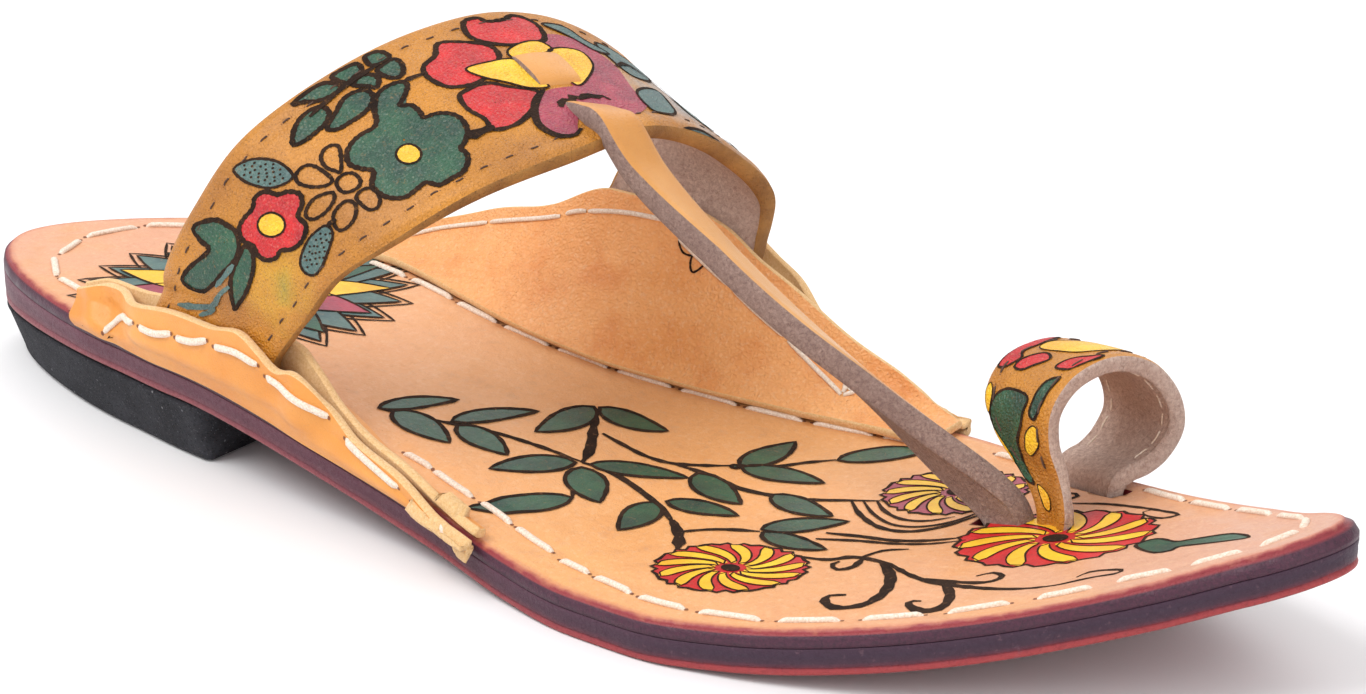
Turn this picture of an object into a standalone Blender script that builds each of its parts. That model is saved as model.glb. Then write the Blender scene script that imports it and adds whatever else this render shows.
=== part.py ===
"""Hand-painted leather toe-loop sandal, right foot, built from its maker's pieces.

+X runs from heel to toe, +Y to the medial (big toe) side, +Z up. While the pieces are
made, x = 0 is the back of the heel and y = 0 the heel's middle line; at the end the whole
shoe is moved so that the bottom centre of its box is the origin. Metres throughout.
"""

import bmesh
import bpy
import numpy as np

# Sole: plan
LENGTH = 0.258
HEEL_LATERAL = 0.0313
HEEL_MEDIAL = 0.0310
WAIST_LATERAL = 0.0362
WAIST_MEDIAL = 0.0235
BALL_LATERAL = 0.0454
BALL_MEDIAL = 0.0382
HEEL_ROUND = 0.066
HEEL_FULLNESS = 1.87
TOE_ROUND = 0.0085

# Sole: side view
SEAT_HEIGHT = 0.0181
SEAT_END = 0.0647
TREAD_START = 0.158
TREAD_END = 0.1665
TOE_SPRING = 0.019
SEAT_LIFT = 0.0025
SEAT_LIFT_RUN = 0.048

# Sole: layers
FIT_GAP = 0.0003
INSOLE_THICK = 0.0024
OUTSOLE_THICK = 0.0043
OUTSOLE_LEDGE = 0.0004
HEEL_LEDGE = 0.0008
HEEL_LEDGE_RUN = 0.045
TOE_LEDGE = 0.0018
TOE_LEDGE_RUN = 0.030
EDGE_ROUND = 0.0007

# Heel block
BREAST_X = 0.0732
HEEL_FOOT_INSET = 0.0024
HEEL_FOOT_ROUND = 0.0018
HEEL_CORNER = 0.0045

# Wings (side pieces that hold the instep band)
WING_THICK = 0.0015
WING_FOOTING = 0.0086
WING_DROP = 0.0009
WING_HEM = 0.0014
WING_BULGE = 0.0012
LATERAL_WING_HEIGHT = 0.0122
LATERAL_WING_START = 0.040
LATERAL_WING_END = 0.139
MEDIAL_WING_HEIGHT = 0.0250
MEDIAL_WING_START = 0.060
MEDIAL_WING_END = 0.171
LATERAL_LEAN = -0.0030
MEDIAL_LEAN = 0.0068
POCKET_BLEND = 0.012
STEEPEST_FLARE = 0.5
WING_SPREAD = 0.0036

# Instep band
BAND_THICK = 0.0030
BAND_SPAN = 0.0400
BAND_REAR_RISE = 0.0712
BAND_FRONT_RISE = 0.0597
BAND_TUCK = 0.0050
POCKET_EASE = 0.006

# Centre thong
THONG_THICK = 0.0037
THONG_WIDTH = 0.0092
THONG_FOOT_WIDTH = 0.0082
THONG_WEAVE = 0.0016
THONG_CROSSING = 0.535
THONG_SLIT = 0.77
TAB_REAR = 0.37
TAB_FRONT = 0.60

# Toe loop
LOOP_THICK = 0.0026
LOOP_WIDTH = 0.0175
LOOP_NECK_WIDTH = 0.0064
LOOP_SPAN = 0.0252
LOOP_RISE = 0.0212
LOOP_TURN = 20.0
LOOP_LANDING = 0.0026

# Places where the straps go through the insole
HOLE_X = 0.2036
HOLE_Y = 0.0094
HOLE_CLEARANCE = 0.0006
SLIT_X = 0.2020
SLIT_Y = 0.0268

# Plan of the sole: which girth a row follows, its place along the length, and the shares of
# that girth's lateral and medial half widths.
PLAN_ROWS = [
    {"along": 0.000, "girth": "heel", "lateral": 1.02, "medial": 0.74},
    {"along": 0.120, "girth": "heel", "lateral": 1.00, "medial": 0.948},
    {"along": 0.190, "girth": "heel", "lateral": 1.00, "medial": 0.948},
    {"along": 0.250, "girth": "heel", "lateral": 1.04, "medial": 0.915},
    {"along": 0.330, "girth": "waist", "lateral": 0.967, "medial": 1.055},
    {"along": 0.375, "girth": "waist", "lateral": 1.00, "medial": 1.00},
    {"along": 0.430, "girth": "waist", "lateral": 1.03, "medial": 1.047},
    {"along": 0.500, "girth": "ball", "lateral": 0.866, "medial": 0.775},
    {"along": 0.560, "girth": "ball", "lateral": 0.938, "medial": 0.901},
    {"along": 0.620, "girth": "ball", "lateral": 0.995, "medial": 0.982},
    {"along": 0.665, "girth": "ball", "lateral": 1.000, "medial": 1.000},
    {"along": 0.720, "girth": "ball", "lateral": 0.943, "medial": 0.950},
    {"along": 0.800, "girth": "ball", "lateral": 0.780, "medial": 0.812},
    {"along": 0.870, "girth": "ball", "lateral": 0.577, "medial": 0.628},
    {"along": 0.930, "girth": "ball", "lateral": 0.337, "medial": 0.455},
    {"along": 0.967, "girth": "ball", "lateral": 0.155, "medial": 0.340},
    {"along": 1.000, "girth": "ball", "lateral": 0.055, "medial": 0.310},
]
GIRTHS = {
    "heel": (HEEL_LATERAL, HEEL_MEDIAL),
    "waist": (WAIST_LATERAL, WAIST_MEDIAL),
    "ball": (BALL_LATERAL, BALL_MEDIAL),
}

# Top edges of the wings: share of the wing's run, shares of its height and lean, the share of
# WING_SPREAD by which the layers stand apart beyond the band, and the share of WING_FOOTING.
LATERAL_WING_ROWS = [
    {"run": 0.00, "inner": 0.42, "outer": 0.40, "lean": 0.7, "spread": 0.00, "foot": 1.00},
    {"run": 0.08, "inner": 0.60, "outer": 0.60, "lean": 0.9, "spread": 0.00, "foot": 1.00},
    {"run": 0.20, "inner": 0.66, "outer": 0.67, "lean": 1.0, "spread": 0.00, "foot": 1.00},
    {"run": 0.30, "inner": 0.80, "outer": 0.79, "lean": 1.0, "spread": 0.00, "foot": 1.00},
    {"run": 0.41, "inner": 0.90, "outer": 0.87, "lean": 1.0, "spread": 0.00, "foot": 1.00},
    {"run": 0.475, "inner": 0.97, "outer": 1.00, "lean": 1.0, "spread": 0.00, "foot": 1.00},
    {"run": 0.525, "inner": 0.98, "outer": 0.88, "lean": 1.00, "spread": 0.00, "foot": 1.00},
    {"run": 0.560, "inner": 0.96, "outer": 0.74, "lean": 0.97, "spread": 0.00, "foot": 0.98},
    {"run": 0.600, "inner": 0.80, "outer": 0.85, "lean": 0.85, "spread": 0.10, "foot": 0.94},
    {"run": 0.665, "inner": 0.50, "outer": 0.62, "lean": 0.60, "spread": 0.25, "foot": 0.77},
    {"run": 0.735, "inner": 0.38, "outer": 0.36, "lean": 0.36, "spread": 0.20, "foot": 0.52},
    {"run": 0.830, "inner": 0.30, "outer": 0.28, "lean": 0.05, "spread": 0.05, "foot": 0.30},
    {"run": 0.920, "inner": 0.20, "outer": 0.10, "lean": -0.10, "spread": 0.15, "foot": 0.16},
    {"run": 1.00, "inner": 0.12, "outer": -0.08, "lean": -0.15, "spread": 0.10, "foot": 0.12},
]
MEDIAL_WING_ROWS = [
    {"run": 0.00, "inner": 0.08, "outer": 0.06, "lean": -0.35, "spread": 0.00, "foot": 1.00},
    {"run": 0.09, "inner": 0.28, "outer": 0.26, "lean": 0.20, "spread": 0.00, "foot": 1.00},
    {"run": 0.18, "inner": 0.43, "outer": 0.41, "lean": 0.60, "spread": 0.00, "foot": 1.00},
    {"run": 0.315, "inner": 0.69, "outer": 0.66, "lean": 0.85, "spread": 0.00, "foot": 1.00},
    {"run": 0.42, "inner": 0.94, "outer": 0.88, "lean": 1.00, "spread": 0.00, "foot": 1.00},
    {"run": 0.52, "inner": 1.00, "outer": 0.95, "lean": 1.00, "spread": 0.00, "foot": 1.00},
    {"run": 0.60, "inner": 0.95, "outer": 0.90, "lean": 0.88, "spread": 0.00, "foot": 1.00},
    {"run": 0.67, "inner": 0.81, "outer": 0.76, "lean": 0.70, "spread": 0.00, "foot": 1.00},
    {"run": 0.78, "inner": 0.56, "outer": 0.51, "lean": 0.45, "spread": 0.00, "foot": 1.00},
    {"run": 0.88, "inner": 0.29, "outer": 0.24, "lean": 0.25, "spread": 0.00, "foot": 1.00},
    {"run": 0.95, "inner": 0.14, "outer": 0.09, "lean": 0.10, "spread": 0.00, "foot": 1.00},
    {"run": 1.00, "inner": 0.06, "outer": -0.05, "lean": 0.00, "spread": 0.00, "foot": 1.00},
]

# Section of a wing's inner layer: share of the way up, share of the footing still inside the
# sole's edge, and share of the lean.
WING_SECTION = [
    {"up": 0.00, "inside": 1.00, "lean": 0.00},
    {"up": 0.06, "inside": 0.82, "lean": 0.00},
    {"up": 0.16, "inside": 0.62, "lean": 0.04},
    {"up": 0.32, "inside": 0.38, "lean": 0.16},
    {"up": 0.52, "inside": 0.18, "lean": 0.42},
    {"up": 0.76, "inside": 0.05, "lean": 0.72},
    {"up": 1.00, "inside": 0.00, "lean": 1.00},
]

# Arch of the instep band between its two pockets. Along is a share of LENGTH, across of
# BAND_SPAN, up of the rise of that edge.
BAND_ROWS = [
    {"rear_along": 0.267, "rear_across": -0.888, "rear_up": 0.510,
     "front_along": 0.389, "front_across": -0.925, "front_up": 0.566},
    {"rear_along": 0.287, "rear_across": -0.850, "rear_up": 0.643,
     "front_along": 0.411, "front_across": -0.900, "front_up": 0.689},
    {"rear_along": 0.310, "rear_across": -0.713, "rear_up": 0.797,
     "front_along": 0.441, "front_across": -0.800, "front_up": 0.795},
    {"rear_along": 0.341, "rear_across": -0.375, "rear_up": 0.930,
     "front_along": 0.478, "front_across": -0.550, "front_up": 0.926},
    {"rear_along": 0.360, "rear_across": 0.000, "rear_up": 0.986,
     "front_along": 0.505, "front_across": -0.200, "front_up": 0.992},
    {"rear_along": 0.382, "rear_across": 0.300, "rear_up": 1.000,
     "front_along": 0.512, "front_across": 0.150, "front_up": 1.000},
    {"rear_along": 0.399, "rear_across": 0.575, "rear_up": 0.951,
     "front_along": 0.512, "front_across": 0.450, "front_up": 0.943},
    {"rear_along": 0.417, "rear_across": 0.825, "rear_up": 0.839,
     "front_along": 0.514, "front_across": 0.750, "front_up": 0.828},
    {"rear_along": 0.421, "rear_across": 1.013, "rear_up": 0.671,
     "front_along": 0.516, "front_across": 1.000, "front_up": 0.656},
]
BAND_LATERAL_REAR_X = 0.0640
BAND_LATERAL_FRONT_X = 0.0935
BAND_MEDIAL_REAR_X = 0.1035
BAND_MEDIAL_FRONT_X = 0.1315

# Free run of the thong from the band's front edge to the hole: share of the run, sideways
# and upward bow as shares of the run's length, twist in degrees, share of the full width.
THONG_ROWS = [
    {"run": 0.00, "aside": 0.000, "bow": 0.000, "twist": 8.0, "width": 1.00},
    {"run": 0.10, "aside": 0.000, "bow": -0.024, "twist": 12.0, "width": 1.00},
    {"run": 0.30, "aside": 0.000, "bow": -0.032, "twist": 17.0, "width": 1.00},
    {"run": 0.50, "aside": 0.000, "bow": -0.018, "twist": 25.0, "width": 1.00},
    {"run": 0.68, "aside": 0.000, "bow": 0.002, "twist": 38.0, "width": 0.98},
    {"run": 0.82, "aside": 0.000, "bow": 0.016, "twist": 56.0, "width": 0.93},
    {"run": 0.93, "aside": 0.000, "bow": 0.024, "twist": 76.0, "width": 0.85},
    {"run": 0.97, "aside": 0.000, "bow": 0.020, "twist": 86.0, "width": 0.82},
    {"run": 1.00, "aside": 0.000, "bow": 0.000, "twist": 90.0, "width": 0.80},
]

# Toe loop, seen along the toe: across is a share of LOOP_SPAN from the near side, up a share
# of LOOP_RISE above the insole, reach a share of the neck's forward offset, and width a share
# of the way from the neck's width to the full width.
LOOP_ROWS = [
    {"across": 0.000, "up": 0.12, "reach": 0.90, "width": 0.05},
    {"across": 0.025, "up": 0.33, "reach": 0.60, "width": 0.30},
    {"across": 0.020, "up": 0.53, "reach": 0.28, "width": 0.70},
    {"across": 0.060, "up": 0.73, "reach": 0.08, "width": 0.93},
    {"across": 0.195, "up": 0.90, "reach": 0.00, "width": 1.00},
    {"across": 0.400, "up": 0.99, "reach": 0.00, "width": 1.00},
    {"across": 0.620, "up": 0.98, "reach": 0.00, "width": 1.00},
    {"across": 0.830, "up": 0.86, "reach": 0.00, "width": 1.00},
    {"across": 0.970, "up": 0.64, "reach": 0.00, "width": 1.00},
    {"across": 1.000, "up": 0.41, "reach": 0.00, "width": 1.00},
    {"across": 0.900, "up": 0.22, "reach": 0.00, "width": 0.98},
    {"across": 0.780, "up": 0.13, "reach": 0.00, "width": 0.93},
]

PLAN_STATIONS = 44
WING_STATIONS = 36
BAND_STATIONS = 48
THONG_STATIONS = 54
LOOP_STATIONS = 44
CRISP_ANGLE = 35.0

COLOURS = {
    "heel_block": (0.035, 0.035, 0.040, 0.85),
    "outsole": (0.130, 0.030, 0.045, 0.55),
    "insole": (0.660, 0.370, 0.190, 0.50),
    "wing": (0.720, 0.390, 0.130, 0.45),
    "upper_straps": (0.640, 0.340, 0.090, 0.45),
    "toe_loop": (0.560, 0.300, 0.110, 0.50),
}


def clear_scene():
    """Remove every object that the file opened with."""
    for found in list(bpy.data.objects):
        bpy.data.objects.remove(found, do_unlink=True)


def column(rows, name):
    """One named column of a table as an array."""
    return np.array([row[name] for row in rows], dtype=float)


def smooth_through(at, stations, values):
    """Cubic through (stations, values) whose slopes never overshoot the rows."""
    at = np.asarray(at, dtype=float)
    step = np.diff(stations)
    rise = np.diff(values) / step
    slope = np.zeros(len(values))
    same_way = rise[:-1] * rise[1:] > 0
    first, second = 2 * step[1:] + step[:-1], step[1:] + 2 * step[:-1]
    with np.errstate(divide="ignore", invalid="ignore"):
        harmonic = (first + second) / (first / rise[:-1] + second / rise[1:])
    slope[1:-1] = np.where(same_way, harmonic, 0.0)
    slope[0], slope[-1] = rise[0], rise[-1]
    cell = np.clip(np.searchsorted(stations, at, side="right") - 1, 0, len(step) - 1)
    share = np.clip((at - stations[cell]) / step[cell], 0.0, 1.0)
    start = (1 + 2 * share) * (1 - share) ** 2 * values[cell]
    end = share ** 2 * (3 - 2 * share) * values[cell + 1]
    lead = share * (1 - share) ** 2 * step[cell] * slope[cell]
    trail = share ** 2 * (share - 1) * step[cell] * slope[cell + 1]
    return start + end + lead + trail


def path_through(points, count):
    """Evenly spaced points on a smooth path through the given 3-D points."""
    points = np.asarray(points, dtype=float)
    chord = np.r_[0.0, np.cumsum(np.linalg.norm(np.diff(points, axis=0), axis=1) ** 0.5)]
    slope = np.gradient(points, chord, axis=0)
    fine = np.linspace(0.0, chord[-1], 12 * len(points))
    cell = np.clip(np.searchsorted(chord, fine, side="right") - 1, 0, len(chord) - 2)
    step = (chord[cell + 1] - chord[cell])[:, None]
    share = (fine - chord[cell])[:, None] / step
    dense = ((1 + 2 * share) * (1 - share) ** 2 * points[cell]
             + share ** 2 * (3 - 2 * share) * points[cell + 1]
             + share * (1 - share) ** 2 * step * slope[cell]
             + share ** 2 * (share - 1) * step * slope[cell + 1])
    length = np.r_[0.0, np.cumsum(np.linalg.norm(np.diff(dense, axis=0), axis=1))]
    wanted = np.linspace(0.0, length[-1], count)
    return np.stack([np.interp(wanted, length, dense[:, axis]) for axis in range(3)], axis=1)


def unit(vectors):
    """Vectors scaled to length one."""
    return vectors / np.linalg.norm(vectors, axis=-1, keepdims=True)


def insole_top(x):
    """Height of the footbed: level seat, arch down to the tread, toe spring."""
    x = np.asarray(x, dtype=float)
    tread_top = OUTSOLE_THICK + FIT_GAP + INSOLE_THICK
    share = np.clip((x - SEAT_END) / (TREAD_START - SEAT_END), 0.0, 1.0)
    fall = share * share * (3 - 2 * share)
    spring = np.clip((x - TREAD_END) / (LENGTH - TREAD_END), 0.0, None) ** 2
    return SEAT_HEIGHT + (tread_top - SEAT_HEIGHT) * fall + TOE_SPRING * spring


def outsole_top(x):
    """Height of the outsole's upper face."""
    return insole_top(x) - INSOLE_THICK - FIT_GAP


def outsole_bottom(x):
    """Height of the outsole's lower face, with the lift built up under the heel's back."""
    lift = np.clip(1.0 - np.asarray(x, dtype=float) / SEAT_LIFT_RUN, 0.0, 1.0) ** 2
    return outsole_top(x) - OUTSOLE_THICK - SEAT_LIFT * lift


def edge(x):
    """Lateral and medial y of the sole's outline at x."""
    x = np.asarray(x, dtype=float)
    along = column(PLAN_ROWS, "along") * LENGTH
    halves = np.array([GIRTHS[row["girth"]] for row in PLAN_ROWS])
    lateral = smooth_through(x, along, -column(PLAN_ROWS, "lateral") * halves[:, 0])
    medial = smooth_through(x, along, column(PLAN_ROWS, "medial") * halves[:, 1])
    back = np.clip(1.0 - x / HEEL_ROUND, 0.0, 1.0) ** HEEL_FULLNESS
    front = np.clip((x - LENGTH + TOE_ROUND) / TOE_ROUND, 0.0, 1.0) ** 2
    narrow = (1.0 - back) ** (1.0 / HEEL_FULLNESS) * np.sqrt(1.0 - front)
    middle = (lateral + medial) / 2
    half = (medial - lateral) / 2 * narrow
    return middle - half, middle + half


def plan_ring():
    """The outline as a closed ring: heel, lateral side, toe, medial side."""
    turn = np.linspace(0.0, np.pi, PLAN_STATIONS + 1)
    x = LENGTH * (0.5 - 0.5 * np.cos(turn))
    lateral, medial = edge(x)
    forth = np.stack([x, lateral], axis=1)
    back = np.stack([x[-2:0:-1], medial[-2:0:-1]], axis=1)
    return np.concatenate([forth, back])


def grown(ring, by):
    """A closed plan ring moved outwards by a distance."""
    along = np.roll(ring, -1, axis=0) - np.roll(ring, 1, axis=0)
    outward = unit(np.stack([along[:, 1], -along[:, 0]], axis=1))
    return ring + np.reshape(by, (-1, 1)) * outward


def new_object(name, verts, faces, colour, home):
    """A mesh object with its own material, in a collection."""
    mesh = bpy.data.meshes.new(name)
    mesh.from_pydata([tuple(v) for v in np.asarray(verts, dtype=float)], [], faces)
    mesh.update()
    made = bpy.data.objects.new(name, mesh)
    home.objects.link(made)
    made.data.materials.append(principled(name, colour))
    return made


def principled(name, colour):
    """A plain finish: colour and roughness."""
    finish = bpy.data.materials.new(name + "_finish")
    finish.use_nodes = True
    shader = finish.node_tree.nodes["Principled BSDF"]
    shader.inputs["Base Color"].default_value = (*colour[:3], 1.0)
    shader.inputs["Roughness"].default_value = colour[3]
    return finish


def outward(made):
    """Weld doubled corners and turn the faces of a closed body outwards."""
    shape = bmesh.new()
    shape.from_mesh(made.data)
    bmesh.ops.remove_doubles(shape, verts=shape.verts, dist=1e-6)
    bmesh.ops.recalc_face_normals(shape, faces=shape.faces)
    shape.to_mesh(made.data)
    shape.free()


def layered_body(name, levels, colour, home):
    """A body from closed rings of equal length, bottom to top, with ruled caps."""
    count = len(levels[0])
    half = count // 2
    faces = []
    for level in range(len(levels) - 1):
        low, high = level * count, (level + 1) * count
        for i in range(count):
            j = (i + 1) % count
            faces.append((low + i, low + j, high + j, high + i))
    for base in (0, (len(levels) - 1) * count):
        faces.append((base, base + 1, base + count - 1))
        for i in range(1, half - 1):
            faces.append((base + i, base + i + 1, base + count - i - 1, base + count - i))
        faces.append((base + half - 1, base + half, base + half + 1))
    made = new_object(name, np.concatenate(levels), faces, colour, home)
    outward(made)
    ease_shading(made)
    return made


def with_height(ring, heights):
    """A plan ring lifted to heights."""
    return np.column_stack([ring, heights])


def sole_ledge(x):
    """How far the outsole stands out past the insole: most around the heel and the tip."""
    x = np.asarray(x, dtype=float)
    heel = np.clip(1.0 - x / HEEL_LEDGE_RUN, 0.0, 1.0)
    toe = np.clip(1.0 - (LENGTH - x) / TOE_LEDGE_RUN, 0.0, 1.0)
    return (OUTSOLE_LEDGE + (HEEL_LEDGE - OUTSOLE_LEDGE) * heel * heel * (3 - 2 * heel)
            + (TOE_LEDGE - OUTSOLE_LEDGE) * toe * toe * (3 - 2 * toe))


def sole_layer(name, top, bottom, ledge, colour, home):
    """A sole layer: its outline with eased edges, between two height functions."""
    ring = plan_ring()
    full, eased = grown(ring, ledge), grown(ring, ledge - EDGE_ROUND)
    high, low = top(ring[:, 0]), bottom(ring[:, 0])
    levels = [with_height(eased, low), with_height(full, low + EDGE_ROUND),
              with_height(full, high - EDGE_ROUND), with_height(eased, high)]
    return layered_body(name, levels, colour, home)


def heel_ring(inset):
    """Plan of the heel block: the outsole's outline drawn in, cut straight at the breast."""
    turn = np.linspace(0.0, np.pi / 2, PLAN_STATIONS // 2)
    reach = BREAST_X - HEEL_CORNER
    x = reach * (1.0 - np.cos(turn))
    corner = np.linspace(0.0, np.pi / 2, 4)
    lateral, medial = edge(np.r_[x, reach + HEEL_CORNER * np.sin(corner[1:])])
    ease = HEEL_CORNER * (1 - np.cos(np.r_[np.zeros(len(x)), corner[1:]]))
    x = np.r_[x, reach + HEEL_CORNER * np.sin(corner[1:])]
    middle = (lateral[-1] + medial[-1]) / 2
    forth = np.column_stack([x, lateral + ease])
    back = np.column_stack([x[:0:-1], (medial - ease)[:0:-1]])
    ring = np.concatenate([forth, [[BREAST_X, middle]], back])
    drawn = grown(ring, sole_ledge(ring[:, 0]) - inset)
    drawn[:, 0] = np.minimum(drawn[:, 0], BREAST_X)
    return drawn


def heel_block(home):
    """Rubber block under the seat, drawn in towards the floor."""
    top, foot = heel_ring(0.0), heel_ring(HEEL_FOOT_INSET)
    tucked = heel_ring(HEEL_FOOT_INSET + HEEL_FOOT_ROUND)
    seat = outsole_bottom(top[:, 0]) - FIT_GAP
    levels = [with_height(tucked, np.zeros(len(tucked))),
              with_height(foot, np.full(len(foot), HEEL_FOOT_ROUND)),
              with_height(top, seat)]
    return layered_body("heel_block", levels, COLOURS["heel_block"], home)


def wing_values(side, x):
    """Edge y, outward sign and the table's lengths of a wing at x."""
    if side == "lateral":
        start, end = LATERAL_WING_START, LATERAL_WING_END
        rows, height, lean = LATERAL_WING_ROWS, LATERAL_WING_HEIGHT, LATERAL_LEAN
        rim, sign = edge(x)[0], -1.0
    else:
        start, end = MEDIAL_WING_START, MEDIAL_WING_END
        rows, height, lean = MEDIAL_WING_ROWS, MEDIAL_WING_HEIGHT, MEDIAL_LEAN
        rim, sign = edge(x)[1], 1.0
    run = np.clip((np.asarray(x) - start) / (end - start), 0.0, 1.0)
    table = {name: smooth_through(run, column(rows, "run"), column(rows, name))
             for name in ("inner", "outer", "lean", "spread", "foot")}
    return {"rim": rim, "sign": sign, "inner": table["inner"] * height,
            "outer": table["outer"] * height, "lean": table["lean"] * lean,
            "spread": table["spread"] * WING_SPREAD, "footing": table["foot"] * WING_FOOTING}


def pocket_depth(side, x):
    """Room between the middles of a wing's two layers: wide where the band goes in."""
    if side == "lateral":
        rear, front = BAND_LATERAL_REAR_X, BAND_LATERAL_FRONT_X
    else:
        rear, front = BAND_MEDIAL_REAR_X, BAND_MEDIAL_FRONT_X
    outside = np.maximum(np.maximum(rear - 0.004 - x, x - front - 0.004), 0.0)
    near = np.clip(1.0 - outside / POCKET_BLEND, 0.0, 1.0)
    near = near * near * (3 - 2 * near)
    spread = wing_values(side, x)["spread"]
    return WING_THICK + 1.4 * FIT_GAP + (BAND_THICK + 2.2 * FIT_GAP) * near + spread


def inner_offset(side, x, height):
    """Outward offset from the sole's edge of the inner layer's middle, at a height."""
    values = wing_values(side, x)
    up = np.clip(height / np.maximum(values["inner"], 1e-4), 0.0, 1.3)
    section = column(WING_SECTION, "up")
    inside = smooth_through(np.clip(up, 0, 1), section, column(WING_SECTION, "inside"))
    share = smooth_through(np.clip(up, 0, 1), section, column(WING_SECTION, "lean"))
    share = share + np.clip(up - 1.0, 0.0, None)
    return -values["footing"] * inside + values["lean"] * share


def slant(side, x, height):
    """How much longer a thickness is measured level across the slanting wing."""
    step = 0.0008
    flare = (inner_offset(side, x, height + step) - inner_offset(side, x, height - step)) / step / 2
    bend = (wing_values(side, x + step)["rim"] - wing_values(side, x - step)["rim"]) / step / 2
    return np.sqrt(1.0 + np.minimum(flare ** 2, STEEPEST_FLARE) + bend ** 2)


def pocket_point(side, x, height):
    """Where the band's outer face lies in a wing's pocket, a height above the footbed."""
    x, height = np.asarray(x, dtype=float), np.asarray(height, dtype=float)
    values = wing_values(side, x)
    depth = WING_THICK / 2 + 1.5 * FIT_GAP + BAND_THICK
    offset = inner_offset(side, x, height) + depth * slant(side, x, height)
    return np.stack([x, values["rim"] + values["sign"] * offset, insole_top(x) + height],
                    axis=-1)


def ease_shading(made):
    """Round shading with crisp folds and rims."""
    made.data.shade_smooth()
    made.data.set_sharp_from_angle(angle=np.radians(CRISP_ANGLE))
    shape = bmesh.new()
    shape.from_mesh(made.data)
    for rim in shape.edges:
        if rim.is_boundary:
            rim.smooth = False
    shape.to_mesh(made.data)
    shape.free()


def sheet(name, grid, thickness, colour, home, offset=0.0):
    """A wall of real thickness about a grid of points, or on one side of it."""
    rows, cols = grid.shape[:2]
    faces = [(i * cols + j, i * cols + j + 1, (i + 1) * cols + j + 1, (i + 1) * cols + j)
             for i in range(rows - 1) for j in range(cols - 1)]
    made = new_object(name, grid.reshape(-1, 3), faces, colour, home)
    wall = made.modifiers.new("wall", "SOLIDIFY")
    wall.thickness = thickness
    wall.offset = offset
    wall.use_even_offset = True
    wall.thickness_clamp = 0.0
    ease_shading(made)
    return made


def wing(side, home):
    """The two layers of one wing: the inner lies on the footbed, the outer hugs the edge."""
    start, end = ((LATERAL_WING_START, LATERAL_WING_END) if side == "lateral"
                  else (MEDIAL_WING_START, MEDIAL_WING_END))
    x = np.linspace(start, end, WING_STATIONS)
    values = wing_values(side, x)
    rim, sign, lean = values["rim"], values["sign"], values["lean"]
    floor = insole_top(x)
    rest = FIT_GAP + WING_THICK / 2
    table_up = column(WING_SECTION, "up")
    up = np.array([0.0, 0.05, 0.12, 0.22, 0.34, 0.48, 0.64, 0.82, 1.0])
    inside = smooth_through(up, table_up, column(WING_SECTION, "inside"))
    share = smooth_through(up, table_up, column(WING_SECTION, "lean"))
    offset = -values["footing"][:, None] * inside[None, :] + lean[:, None] * share[None, :]
    height = rest + np.maximum(values["inner"] - rest, 0.0006)[:, None] * up[None, :]
    inner = np.stack([np.broadcast_to(x[:, None], offset.shape), rim[:, None] + sign * offset,
                      floor[:, None] + height], axis=2)
    made = [sheet(side + "_wing_inner", inner, WING_THICK, COLOURS["wing"], home)]

    hug = FIT_GAP + WING_THICK / 2
    rows = np.array([0.0, 0.14, 0.30, 0.48, 0.66, 0.84, 1.0])
    drop = -WING_DROP * np.ones_like(x)
    top = np.maximum(values["outer"], WING_HEM - WING_DROP)
    height = drop[:, None] + (top - drop)[:, None] * rows[None, :]
    level = np.broadcast_to(x[:, None], height.shape)
    beside = (inner_offset(side, level, height)
              + pocket_depth(side, x)[:, None] * slant(side, level, height))
    bulge = hug + WING_BULGE * np.sin(np.pi * np.clip(rows * 1.4, 0, 1))[None, :]
    clear_sole = np.clip(1.0 - (height - rest) / 0.003, 0.0, 1.0)
    offset = np.maximum(beside, bulge * clear_sole + beside * (1 - clear_sole))
    outer = np.stack([np.broadcast_to(x[:, None], offset.shape), rim[:, None] + sign * offset,
                      floor[:, None] + height], axis=2)
    made.append(sheet(side + "_wing_outer", outer, WING_THICK, COLOURS["wing"], home))
    return made


def band_edges():
    """Rear and front edges of the instep band, pocket to pocket."""
    edges = []
    for which, rise in (("rear", BAND_REAR_RISE), ("front", BAND_FRONT_RISE)):
        lateral_x = BAND_LATERAL_REAR_X if which == "rear" else BAND_LATERAL_FRONT_X
        medial_x = BAND_MEDIAL_REAR_X if which == "rear" else BAND_MEDIAL_FRONT_X
        arch = np.column_stack([column(BAND_ROWS, which + "_along") * LENGTH,
                                column(BAND_ROWS, which + "_across") * BAND_SPAN,
                                column(BAND_ROWS, which + "_up") * rise])
        start = [pocket_point("lateral", lateral_x - 0.002, BAND_TUCK),
                 pocket_point("lateral", lateral_x, LATERAL_WING_HEIGHT * 0.8)]
        end = [pocket_point("medial", medial_x, MEDIAL_WING_HEIGHT * 0.85),
               pocket_point("medial", medial_x - 0.001, BAND_TUCK + 0.004)]
        edges.append(path_through(np.concatenate([start, arch, end]), BAND_STATIONS))
    return edges


def band_grid():
    """Outer face of the band: ruled from its rear to its front edge."""
    rear, front = band_edges()
    across = np.linspace(0.0, 1.0, 5)[None, :, None]
    grid = rear[:, None, :] * (1 - across) + front[:, None, :] * across
    middle = BAND_STATIONS // 2
    for side, part in (("lateral", grid[:middle]), ("medial", grid[middle:])):
        height = part[:, :, 2] - insole_top(part[:, :, 0])
        level = wing_values(side, part[:, :, 0])["inner"]
        held = np.clip((level + POCKET_EASE - height) / POCKET_EASE, 0.0, 1.0)
        held = held * held * (3 - 2 * held)
        pocket = pocket_point(side, part[:, :, 0], height)[:, :, 1]
        part[:, :, 1] = part[:, :, 1] * (1 - held) + pocket * held
    return grid


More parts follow.
